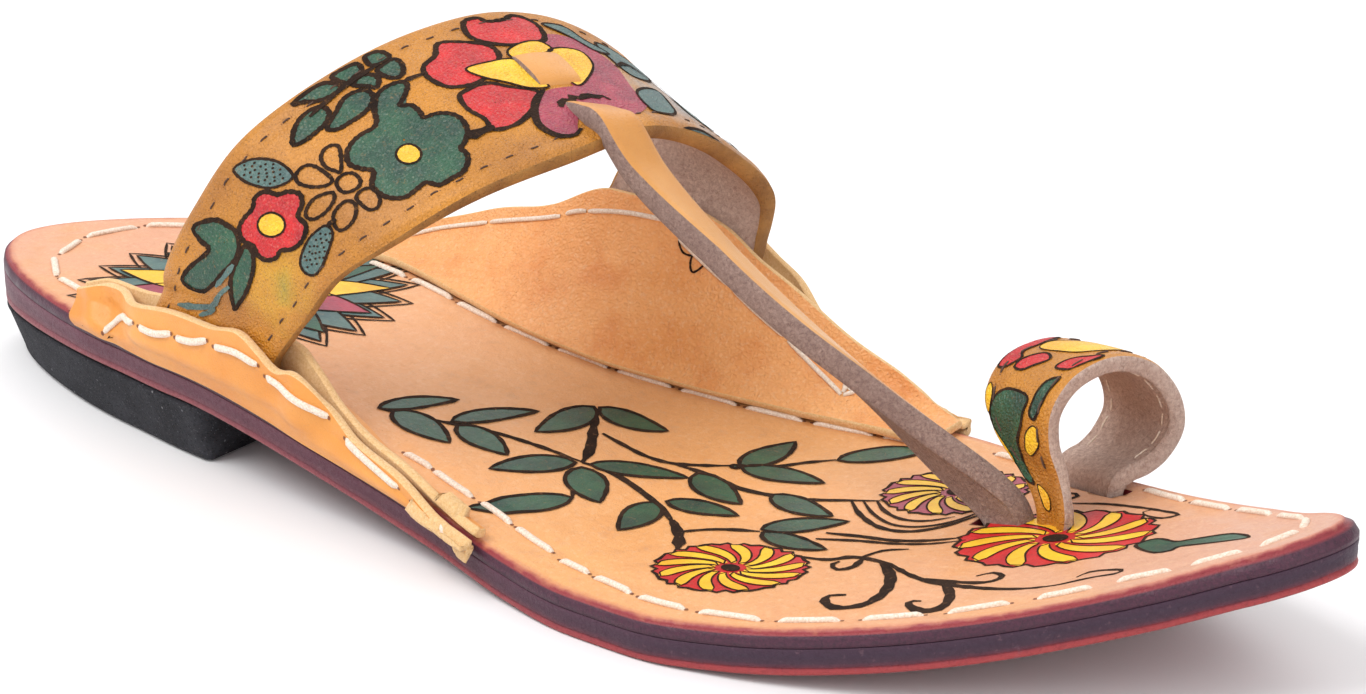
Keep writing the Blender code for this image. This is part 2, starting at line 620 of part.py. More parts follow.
def thong_on_band(share, height):
    """A point over the band on the thong's line, its sideways direction and outward normal."""
    rear, front = band_edges()
    at = THONG_CROSSING * (BAND_STATIONS - 1)
    low = int(at)
    blend = at - low
    rear_point = rear[low] * (1 - blend) + rear[low + 1] * blend
    front_point = front[low] * (1 - blend) + front[low + 1] * blend
    along = unit(front_point - rear_point)
    sideways = unit(rear[low + 1] - rear[low])
    normal = unit(np.cross(along, sideways))
    return rear_point * (1 - share) + front_point * share + normal * height, sideways, normal


def thong_grid():
    """Middle surface of the thong: woven through the band, then twisting down to the hole."""
    middle = -BAND_THICK / 2
    under, over = middle - THONG_WEAVE, middle + THONG_WEAVE
    lies = THONG_THICK / 2 - 0.0002
    woven = [(TAB_REAR - 0.12, under), (TAB_REAR - 0.02, middle - 0.4 * THONG_WEAVE),
             (TAB_REAR + 0.07, over), (TAB_FRONT - 0.06, over),
             (TAB_FRONT + 0.04, middle - 0.3 * THONG_WEAVE),
             ((TAB_FRONT + THONG_SLIT) / 2, under), (THONG_SLIT - 0.03, middle),
             (THONG_SLIT + 0.08, lies), (0.97, lies)]
    points = [thong_on_band(share, height)[0] for share, height in woven]
    _, sideways, normal = thong_on_band(1.0, 0.0)
    start = points[-1]
    hole = np.array([HOLE_X - LOOP_NECK_WIDTH / 2 - HOLE_CLEARANCE / 2, HOLE_Y, 0.0])
    hole[2] = insole_top(hole[0]) - INSOLE_THICK + FIT_GAP
    span = hole - start
    length = np.linalg.norm(span)
    along = span / length
    aside = unit(np.cross([0.0, 0.0, 1.0], along))
    lift = np.cross(along, aside)
    rows = THONG_ROWS[1:]
    free = [start + span * row["run"] + aside * row["aside"] * length
            + lift * row["bow"] * length for row in rows]
    path = path_through(np.array(points + free), THONG_STATIONS)
    travelled = np.linalg.norm(path - start, axis=1) / length
    ahead = (path - start) @ along > 0
    run = np.where(ahead, np.clip(travelled, 0, 1), 0.0)
    twist = np.radians(smooth_through(run, column(THONG_ROWS, "run"),
                                      column(THONG_ROWS, "twist")))
    share = smooth_through(run, column(THONG_ROWS, "run"), column(THONG_ROWS, "width"))
    tangent = unit(np.gradient(path, axis=0))
    settle = np.clip(run / 0.3, 0.0, 1.0)[:, None]
    flat = unit(sideways[None, :] * (1 - settle) + aside[None, :] * settle)
    flat = unit(flat - tangent * np.sum(flat * tangent, axis=1, keepdims=True))
    upright = np.cross(tangent, flat)
    wide = flat * np.cos(twist)[:, None] - upright * np.sin(twist)[:, None]
    half = THONG_WIDTH / 2 * share
    across = np.linspace(-1.0, 1.0, 3)
    return path[:, None, :] + wide[:, None, :] * (half[:, None] * across[None, :])[:, :, None]


def loop_frame():
    """Plan directions along and across the toe, and the loop's foot on each side."""
    turn = np.radians(LOOP_TURN)
    climb = float(insole_top(SLIT_X + 0.001) - insole_top(SLIT_X - 0.001)) / 0.002
    along = unit(np.array([np.cos(turn), -np.sin(turn), climb * np.cos(turn)]))
    across = np.array([np.sin(turn), np.cos(turn), 0.0])
    near = np.array([HOLE_X + THONG_FOOT_WIDTH / 2 + HOLE_CLEARANCE / 2, HOLE_Y, 0.0])
    far = np.array([SLIT_X, SLIT_Y, 0.0])
    return along, across, near, far


def loop_grid():
    """Middle surface of the toe loop, from the hole over the toe to the slit."""
    along, across, near, far = loop_frame()
    floor = float(insole_top(near[0]))
    far_floor = float(insole_top(far[0]))
    centre = far + across * ((near - far) @ across)
    points, widths = [], []
    sunk = -INSOLE_THICK + FIT_GAP
    points.append(near + np.array([0.0, 0.0, floor + sunk]))
    widths.append(0.0)
    for row in LOOP_ROWS:
        fade = min(max(row["reach"] / 0.9, 0.0), 1.0)
        base = near * fade + centre * (1 - fade)
        ground = floor * (1 - row["across"]) + far_floor * row["across"]
        points.append(base + across * row["across"] * LOOP_SPAN
                      + np.array([0.0, 0.0, ground + row["up"] * LOOP_RISE]))
        widths.append(row["width"])
    for out, up in ((1.0, 0.92), (0.25, 0.45)):
        points.append(far + across * LOOP_LANDING * out
                      + np.array([0.0, 0.0, far_floor + LOOP_LANDING * up]))
        widths.append(0.88)
    points.append(far + np.array([0.0, 0.0, far_floor + sunk]))
    widths.append(0.88)
    points = np.array(points)
    path = path_through(points, LOOP_STATIONS)
    chord = np.r_[0.0, np.cumsum(np.linalg.norm(np.diff(points, axis=0), axis=1))]
    travelled = np.r_[0.0, np.cumsum(np.linalg.norm(np.diff(path, axis=0), axis=1))]
    share = np.interp(travelled / travelled[-1], chord / chord[-1], widths)
    half = (LOOP_NECK_WIDTH + (LOOP_WIDTH - LOOP_NECK_WIDTH) * share) / 2
    steps = np.linspace(-1.0, 1.0, 3)
    return path[:, None, :] + along[None, None, :] * (half[:, None] * steps[None, :])[:, :, None]


def block_cutter(name, centre, size, turn, home):
    """A wire box that cuts a strap's way through the insole."""
    bpy.ops.mesh.primitive_cube_add(size=1.0)
    made = bpy.context.object
    made.name = name
    made.data.name = name
    for vertex in made.data.vertices:
        x, y, z = (vertex.co[axis] * size[axis] for axis in range(3))
        vertex.co = (centre[0] + x * np.cos(turn) - y * np.sin(turn),
                     centre[1] + x * np.sin(turn) + y * np.cos(turn), centre[2] + z)
    for held in list(made.users_collection):
        held.objects.unlink(made)
    home.objects.link(made)
    hide(made)
    return made


def hide(made):
    """Mark an object as a guide that isn't part of the shoe."""
    made.hide_render = True
    made.display_type = "WIRE"


def combine(target, tool, operation):
    """Cut a tool out of a target, or join it on."""
    change = target.modifiers.new(tool.name, "BOOLEAN")
    change.operation = operation
    change.object = tool
    change.solver = "EXACT"


def insole(home, cutters):
    """Footbed with the thong's hole and the toe loop's slit."""
    made = sole_layer("insole", insole_top, lambda x: insole_top(x) - INSOLE_THICK, 0.0,
                      COLOURS["insole"], home)
    hole_size = (THONG_FOOT_WIDTH + LOOP_NECK_WIDTH + 5 * HOLE_CLEARANCE,
                 THONG_THICK + 4 * HOLE_CLEARANCE, 0.02)
    hole = block_cutter("hole_cutter", (HOLE_X, HOLE_Y, float(insole_top(HOLE_X))), hole_size,
                        0.0, cutters)
    slit_size = (LOOP_NECK_WIDTH + (LOOP_WIDTH - LOOP_NECK_WIDTH) * 0.88 + 3 * HOLE_CLEARANCE,
                 LOOP_THICK + 3 * HOLE_CLEARANCE, 0.02)
    slit = block_cutter("slit_cutter", (SLIT_X, SLIT_Y, float(insole_top(SLIT_X))), slit_size,
                        -np.radians(LOOP_TURN), cutters)
    combine(made, hole, "DIFFERENCE")
    combine(made, slit, "DIFFERENCE")
    return made


def upper_straps(home, cutters):
    """Instep band and centre thong, joined where the thong is woven through the band."""
    band = sheet("upper_straps", band_grid(), BAND_THICK, COLOURS["upper_straps"], home, -1.0)
    thong = sheet("thong_guide", thong_grid(), THONG_THICK, COLOURS["upper_straps"], cutters)
    hide(thong)
    combine(band, thong, "UNION")
    return band


def centre_on_floor(pieces, guides):
    """Move everything so that the bottom centre of the shoe's box is the origin."""
    bpy.context.view_layer.update()
    graph = bpy.context.evaluated_depsgraph_get()
    corners = []
    for piece in pieces:
        shape = piece.evaluated_get(graph).to_mesh()
        places = np.array([tuple(vertex.co) for vertex in shape.vertices])
        corners.append(places.min(axis=0))
        corners.append(places.max(axis=0))
    corners = np.array(corners)
    low, high = corners.min(axis=0), corners.max(axis=0)
    shift = np.array([(low[0] + high[0]) / 2, (low[1] + high[1]) / 2, low[2]])
    for made in pieces + guides:
        for vertex in made.data.vertices:
            vertex.co = tuple(np.array(vertex.co) - shift)


def main():
    """Build the sandal."""
    clear_scene()
    shoe = bpy.data.collections.new("toe_loop_sandal")
    cutters = bpy.data.collections.new("cutters")
    for home in (shoe, cutters):
        bpy.context.scene.collection.children.link(home)
    heel_block(shoe)
    ledge = sole_ledge(plan_ring()[:, 0])
    sole_layer("outsole", outsole_top, outsole_bottom, ledge, COLOURS["outsole"], shoe)
    insole(shoe, cutters)
    wing("lateral", shoe)
    wing("medial", shoe)
    upper_straps(shoe, cutters)
    sheet("toe_loop", loop_grid(), LOOP_THICK, COLOURS["toe_loop"], shoe)
    centre_on_floor(list(shoe.objects), list(cutters.objects))


main()
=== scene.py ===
"""Looks of a hand-painted leather toe-loop sandal for the right foot.

Shoe frame: millimetres, x = 0 at the insole's heel back, y = 0 on the heel's middle line with
the medial side positive, z = 0 on the floor. Everything is worked out there and moved into
the row frame when a mesh is made.
"""

import logging
import math
from dataclasses import dataclass, field
from enum import Enum
from typing import Callable, Sequence

import bpy
import bmesh
import numpy as np
from mathutils import Matrix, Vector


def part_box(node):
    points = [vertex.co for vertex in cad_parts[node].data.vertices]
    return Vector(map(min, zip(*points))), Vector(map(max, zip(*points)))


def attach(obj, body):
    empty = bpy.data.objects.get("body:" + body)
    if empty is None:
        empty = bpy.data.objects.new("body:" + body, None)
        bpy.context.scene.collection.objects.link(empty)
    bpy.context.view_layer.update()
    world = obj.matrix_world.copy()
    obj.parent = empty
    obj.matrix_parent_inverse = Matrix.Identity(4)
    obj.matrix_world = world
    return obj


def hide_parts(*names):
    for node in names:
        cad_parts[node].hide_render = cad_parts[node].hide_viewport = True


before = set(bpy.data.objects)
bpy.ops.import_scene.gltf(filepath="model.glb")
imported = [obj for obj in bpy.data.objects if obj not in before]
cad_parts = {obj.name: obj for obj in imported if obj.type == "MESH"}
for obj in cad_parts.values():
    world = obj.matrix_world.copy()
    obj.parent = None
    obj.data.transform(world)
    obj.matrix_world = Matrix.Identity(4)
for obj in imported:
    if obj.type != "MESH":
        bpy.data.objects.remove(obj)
LOG = logging.getLogger("sandal")
logging.basicConfig(level=logging.INFO, format="%(name)s: %(message)s")
MM = 0.001
Array = np.ndarray
Socket, Material, Piece = bpy.types.NodeSocket, bpy.types.Material, bpy.types.Object


# ---- numbers -------------------------------------------------------------------------------
def smooth_through(at: Array, stations: Array, values: Array) -> Array:
    """Cubic through rows whose slopes never overshoot them.

    Args:
        at: places to read.
        stations: places of the rows, rising.
        values: the rows' values.

    Returns:
        The value at each place.
    """
    at, stations, values = (np.asarray(a, dtype=float) for a in (at, stations, values))
    step = np.diff(stations)
    rise = np.diff(values) / step
    slope = np.zeros(len(values))
    first, second = 2 * step[1:] + step[:-1], step[1:] + 2 * step[:-1]
    with np.errstate(divide="ignore", invalid="ignore"):
        mean = (first + second) / (first / rise[:-1] + second / rise[1:])
    slope[1:-1] = np.where(rise[:-1] * rise[1:] > 0, mean, 0.0)
    slope[0], slope[-1] = rise[0], rise[-1]
    cell = np.clip(np.searchsorted(stations, at, side="right") - 1, 0, len(step) - 1)
    t = np.clip((at - stations[cell]) / step[cell], 0.0, 1.0)
    return ((1 + 2 * t) * (1 - t) ** 2 * values[cell] + t ** 2 * (3 - 2 * t) * values[cell + 1]
            + t * (1 - t) ** 2 * step[cell] * slope[cell]
            + t ** 2 * (t - 1) * step[cell] * slope[cell + 1])


def path_through(points: Array, count: int) -> Array:
    """Evenly spaced points on a smooth path.

    Args:
        points: (k, d) points that the path passes.
        count: how many points to return.

    Returns:
        (count, d) points.
    """
    points = np.asarray(points, dtype=float)
    chord = np.r_[0.0, np.cumsum(np.linalg.norm(np.diff(points, axis=0), axis=1) ** 0.5)]
    slope = np.gradient(points, chord, axis=0)
    fine = np.linspace(0.0, chord[-1], 24 * len(points))
    cell = np.clip(np.searchsorted(chord, fine, side="right") - 1, 0, len(chord) - 2)
    step = (chord[cell + 1] - chord[cell])[:, None]
    t = (fine - chord[cell])[:, None] / step
    dense = ((1 + 2 * t) * (1 - t) ** 2 * points[cell] + t ** 2 * (3 - 2 * t) * points[cell + 1]
             + t * (1 - t) ** 2 * step * slope[cell] + t ** 2 * (t - 1) * step * slope[cell + 1])
    run = np.r_[0.0, np.cumsum(np.linalg.norm(np.diff(dense, axis=0), axis=1))]
    wanted = np.linspace(0.0, run[-1], count)
    return np.stack([np.interp(wanted, run, dense[:, k]) for k in range(dense.shape[1])], axis=1)


def unit(vectors: Array) -> Array:
    """Vectors scaled to length one."""
    size = np.linalg.norm(vectors, axis=-1, keepdims=True)
    return vectors / np.where(size > 1e-9, size, 1.0)


def ease(value: Array) -> Array:
    """Smooth step of a value from 0 to 1."""
    t = np.clip(value, 0.0, 1.0)
    return t * t * (3 - 2 * t)


def bump(value: Array, centre: float, width: float) -> Array:
    """A soft ridge: exp(-((value - centre) / width)^2)."""
    return np.exp(-((np.asarray(value, dtype=float) - centre) / width) ** 2)


@dataclass(frozen=True)
class Table:
    """Rows of numbers under named columns."""

    columns: tuple[str, ...]
    rows: tuple[tuple[float, ...], ...]

    def __getitem__(self, name: str) -> Array:
        """One column."""
        at = self.columns.index(name)
        return np.array([row[at] for row in self.rows], dtype=float)


# ---- shapes --------------------------------------------------------------------------------
class Side(Enum):
    """Sides of a right foot."""

    LATERAL = -1.0
    MEDIAL = 1.0


@dataclass(frozen=True)
class Last:
    """Plan and side view of the sole, with its layers."""

    length: float = 258.0
    heel_round: float = 66.0
    fullness: float = 1.87
    toe_round: float = 8.5
    seat: float = 18.1
    seat_end: float = 64.7
    tread_start: float = 158.0
    tread_end: float = 166.5
    toe_spring: float = 19.0
    insole: float = 2.4
    outsole: float = 4.3
    gap: float = 0.3
    lift: float = 2.5
    lift_run: float = 48.0
    ledge: float = 0.4
    heel_ledge: float = 0.8
    toe_ledge: float = 1.8
    heel_ledge_run: float = 45.0
    toe_ledge_run: float = 30.0
    plan: Table = Table(("along", "lateral", "medial"), (
        (0.000, -31.93, 22.94), (0.120, -31.30, 29.39), (0.190, -31.30, 29.39),
        (0.250, -32.55, 28.37), (0.330, -35.01, 24.79), (0.375, -36.20, 23.50),
        (0.430, -37.29, 24.60), (0.500, -39.32, 29.61), (0.560, -42.59, 34.42),
        (0.620, -45.17, 37.51), (0.665, -45.40, 38.20), (0.720, -42.81, 36.29),
        (0.800, -35.41, 31.02), (0.870, -26.20, 23.99), (0.930, -15.30, 17.38),
        (0.967, -7.04, 12.99), (1.000, -2.50, 11.84)))

    def top(self, x: Array) -> Array:
        """Height of the footbed: seat, arch by 3t^2 - 2t^3, toe spring by a square.

        Args:
            x: places along the shoe.

        Returns:
            Heights.
        """
        x = np.asarray(x, dtype=float)
        tread = self.outsole + self.gap + self.insole
        fall = ease((x - self.seat_end) / (self.tread_start - self.seat_end))
        spring = np.clip((x - self.tread_end) / (self.length - self.tread_end), 0, None) ** 2
        return self.seat + (tread - self.seat) * fall + self.toe_spring * spring

    def edge(self, x: Array) -> tuple[Array, Array]:
        """Lateral and medial y of the outline.

        Args:
            x: places along the shoe.

        Returns:
            The two rows of y.
        """
        x = np.asarray(x, dtype=float)
        along = self.plan["along"] * self.length
        lateral = smooth_through(x, along, self.plan["lateral"])
        medial = smooth_through(x, along, self.plan["medial"])
        back = np.clip(1.0 - x / self.heel_round, 0.0, 1.0) ** self.fullness
        front = np.clip((x - self.length + self.toe_round) / self.toe_round, 0.0, 1.0) ** 2
        narrow = (1.0 - back) ** (1.0 / self.fullness) * np.sqrt(1.0 - front)
        middle, half = (lateral + medial) / 2, (medial - lateral) / 2 * narrow
        return middle - half, middle + half

    def overhang(self, x: Array) -> Array:
        """How far the outsole stands out past the insole.

        Args:
            x: places along the shoe.

        Returns:
            The ledge's width.
        """
        heel = ease(1.0 - x / self.heel_ledge_run)
        toe = ease(1.0 - (self.length - x) / self.toe_ledge_run)
        return (self.ledge + (self.heel_ledge - self.ledge) * heel
                + (self.toe_ledge - self.ledge) * toe)

    def sole_bottom(self, x: Array) -> Array:
        """Height of the outsole's lower face."""
        raised = np.clip(1.0 - np.asarray(x, dtype=float) / self.lift_run, 0.0, 1.0) ** 2
        return self.top(x) - self.insole - self.gap - self.outsole - self.lift * raised


LAST = Last()
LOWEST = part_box("insole")[0]
WIDEST = 45.4  # the outline's lateral reach from the heel's middle line
SHIFT = np.array([LOWEST[0] / MM, LOWEST[1] / MM + WIDEST, 0.0])


def to_row(points: Array) -> Array:
    """Shoe millimetres to row metres."""
    return (np.asarray(points, dtype=float) + SHIFT) * MM


@dataclass
class Pile:
    """Vertices and faces gathered for one mesh."""

    points: list[Array] = field(default_factory=list)
    quads: list[Array] = field(default_factory=list)
    slots: list[Array] = field(default_factory=list)
    marks: list[Array] = field(default_factory=list)
    count: int = 0

    def add(self, points: Array, quads: Array, slot: int = 0, mark: Array | float = 0.0) -> int:
        """Adds a patch.

        Args:
            points: (k, 3) places in the shoe frame.
            quads: (f, 4) indices into them.
            slot: material index of the faces.
            mark: a number per point that the finish reads.

        Returns:
            Index of the patch's first point.
        """
        first = self.count
        self.points.append(np.asarray(points, dtype=float).reshape(-1, 3))
        self.marks.append(np.broadcast_to(np.asarray(mark, dtype=float).reshape(-1)
                                          if np.ndim(mark) else mark, len(self.points[-1])))
        self.count += len(self.points[-1])
        self.face(quads + first, slot)
        return first

    def face(self, quads: Array, slot: int = 0) -> None:
        """Adds faces between points that are there."""
        self.quads.append(np.asarray(quads).reshape(-1, 4))
        self.slots.append(np.full(len(self.quads[-1]), slot))

    def make(self, name: str, finishes: Sequence[Material], weld: bool = False,
             flat: bool = False) -> Piece:
        """Builds the mesh object.

        Args:
            name: the object's name.
            finishes: its materials in slot order.
            weld: whether doubled points are merged and normals made outward.
            flat: whether the faces stay flat shaded.

        Returns:
            The object, at the origin of the row frame.
        """
        points, quads = np.concatenate(self.points), np.concatenate(self.quads)
        mesh = bpy.data.meshes.new(name)
        mesh.vertices.add(len(points))
        mesh.vertices.foreach_set("co", to_row(points).astype(np.float32).ravel())
        mesh.loops.add(len(quads) * 4)
        mesh.loops.foreach_set("vertex_index", quads.astype(np.int32).ravel())
        mesh.polygons.add(len(quads))
        mesh.polygons.foreach_set("loop_start", np.arange(0, 4 * len(quads), 4, dtype=np.int32))
        mesh.polygons.foreach_set("material_index", np.concatenate(self.slots).astype(np.int32))
        rest = mesh.attributes.new("rest", "FLOAT_VECTOR", "POINT")
        rest.data.foreach_set("vector", points.astype(np.float32).ravel())
        mark = mesh.attributes.new("mark", "FLOAT", "POINT")
        mark.data.foreach_set("value", np.concatenate(self.marks).astype(np.float32))
        mesh.update(calc_edges=True)
        mesh.validate()
        if weld:
            shape = bmesh.new()
            shape.from_mesh(mesh)
            bmesh.ops.remove_doubles(shape, verts=shape.verts, dist=1e-6)
            bmesh.ops.recalc_face_normals(shape, faces=shape.faces)
            shape.to_mesh(mesh)
            shape.free()
        mesh.polygons.foreach_set("use_smooth", np.full(len(mesh.polygons), not flat))
        made = bpy.data.objects.new(name, mesh)
        bpy.context.scene.collection.objects.link(made)
        for finish in finishes:
            mesh.materials.append(finish)
        LOG.info("%s: %d faces", name, len(mesh.polygons))
        return made


def grid_quads(rows: int, cols: int) -> Array:
    """Faces of a grid of points in row order."""
    at = np.arange(rows - 1)[:, None] * cols + np.arange(cols - 1)[None, :]
    return np.stack([at, at + 1, at + cols + 1, at + cols], axis=-1).reshape(-1, 4)


def softened(grid: Array, times: int) -> Array:
    """Rounds the kinks of a grid of numbers: each becomes the mean 1:2:1 of its neighbours.

    Args:
        grid: (rows, cols) numbers.
        times: how often.

    Returns:
        The softer grid.
    """
    for _ in range(times):
        for axis in (0, 1):
            wide = np.concatenate([np.take(grid, [0], axis), grid, np.take(grid, [-1], axis)], axis)
            count = grid.shape[axis]
            low, mid, high = (np.take(wide, np.arange(count) + k, axis) for k in range(3))
            grid = (low + 2 * mid + high) / 4
    return grid


@dataclass
class Sheet:
    """A leather sheet: a grid of its outer face with a thickness, read by arc length."""

    top: Array
    thick: float
    facing: float = 1.0

    def __post_init__(self) -> None:
        """Works out normals and arc lengths."""
        along = np.gradient(self.top, axis=0)
        across = np.gradient(self.top, axis=1)
        face = unit(np.cross(along, across)) * self.facing
        self.normal = unit(np.stack([softened(face[..., k], 3) for k in range(3)], axis=-1))
        middle = self.top[:, self.top.shape[1] // 2]
        self.arc = np.r_[0.0, np.cumsum(np.linalg.norm(np.diff(middle, axis=0), axis=1))]
        span = np.linalg.norm(np.diff(self.top, axis=1), axis=2)
        self.span = np.concatenate([np.zeros((len(span), 1)), np.cumsum(span, axis=1)], axis=1)

    @classmethod
    def upward(cls, grid: Array, thick: float, row: int, col: int = 0) -> "Sheet":
        """A sheet whose outer face looks up at one of its points."""
        sheet = cls(grid, thick, 1.0)
        return sheet if sheet.normal[row, col, 2] > 0 else cls(grid, thick, -1.0)

    def padded(self) -> "Sheet":
        """The outer face of a leather whose middle surface this sheet is."""
        return Sheet(self.top + self.normal * self.thick / 2, self.thick, self.facing)

    def press(self, depth: Callable[[Array, Array], Array]) -> "Sheet":
        """Moves the sheet along its normals.

        Args:
            depth: height to add from arc and distance across, whole arrays.

        Returns:
            The moved sheet.
        """
        arc = np.broadcast_to(self.arc[:, None], self.span.shape)
        moved = self.top + self.normal * depth(arc, self.span)[:, :, None]
        return Sheet(moved, self.thick, self.facing)

    def place(self, arc: Array, across: Array, lift: float) -> Array:
        """Points on the outer face by bilinear reading of the grid.

        Args:
            arc: millimetres along the middle.
            across: millimetres from the first edge.
            lift: height above the face.

        Returns:
            (..., 3) places.
        """
        arc, across = np.asarray(arc, dtype=float), np.asarray(across, dtype=float)
        rows, cols = self.span.shape
        i = np.clip(np.interp(arc, self.arc, np.arange(rows)), 0, rows - 1.001)
        low = i.astype(int)
        part = i - low
        width = self.span[low, -1] * (1 - part) + self.span[low + 1, -1] * part
        j = np.clip(across / width, 0.0, 1.0) * (cols - 1.001)
        left = j.astype(int)
        t, s = part[..., None], (j - left)[..., None]

        def read(grid: Array) -> Array:
            """The grid's values between its four nearest points."""
            near, far = (grid[k, left] * (1 - s) + grid[k, left + 1] * s for k in (low, low + 1))
            return near * (1 - t) + far * t

        return read(self.top) + unit(read(self.normal)) * lift

    def solid(self, pile: Pile, slots: tuple[int, int, int], roundness: float = 0.45,
              steps: int = 6) -> None:
        """Adds the sheet as a closed body with rounded cut edges.

        Args:
            pile: where the faces go.
            slots: material indices of outer face, inner face and cut edge.
            roundness: how far the edge bulges, as a share of half the thickness.
            steps: faces round the edge.
        """
        rows, cols = self.span.shape
        arc = np.broadcast_to(self.arc[:, None], self.span.shape)
        low = self.top - self.normal * self.thick
        quads = grid_quads(rows, cols)
        if self.facing > 0:
            quads = quads[:, ::-1]
        pile.add(self.top, quads[:, ::-1], slots[0], arc)
        pile.add(low, quads, slots[1], arc)
        ring = np.r_[np.arange(rows) * cols, (rows - 1) * cols + np.arange(1, cols),
                     (np.arange(rows - 2, -1, -1)) * cols + cols - 1, np.arange(cols - 2, 0, -1)]
        out = np.zeros_like(self.top)
        out[:, 0] -= unit(self.top[:, 1] - self.top[:, 0])
        out[:, -1] += unit(self.top[:, -1] - self.top[:, -2])
        out[0] -= unit(self.top[1] - self.top[0])
        out[-1] += unit(self.top[-1] - self.top[-2])
        face, away = self.normal.reshape(-1, 3)[ring], unit(out.reshape(-1, 3)[ring])
        middle = self.top.reshape(-1, 3)[ring] - face * self.thick / 2
        turns = np.linspace(0.0, np.pi, steps + 1)
        half = self.thick / 2
        rings = [middle + face * half * np.cos(a) + away * half * roundness * np.sin(a)
                 for a in turns]
        count = len(ring)
        mark = np.repeat(np.linspace(0, 1, steps + 1), count)
        first = pile.add(np.concatenate(rings), np.zeros((0, 4), dtype=int), slots[2], mark)
        nxt = np.r_[np.arange(1, count), 0]
        for level in range(steps):
            a = first + level * count + np.arange(count)
            b = first + level * count + nxt
            band = np.stack([a, b, b + count, a + count], axis=1)
            pile.face(band if self.facing > 0 else band[:, ::-1], slots[2])


# ---- finishes ------------------------------------------------------------------------------
def linear(code: str) -> tuple[float, float, float, float]:
    """A web colour as linear light.

    Args:
        code: "#rrggbb".

    Returns:
        Linear red, green, blue and full opacity.
    """
    parts = [int(code[i:i + 2], 16) / 255 for i in (1, 3, 5)]
    light = [p / 12.92 if p <= 0.04045 else ((p + 0.055) / 1.055) ** 2.4 for p in parts]
    return (*light, 1.0)


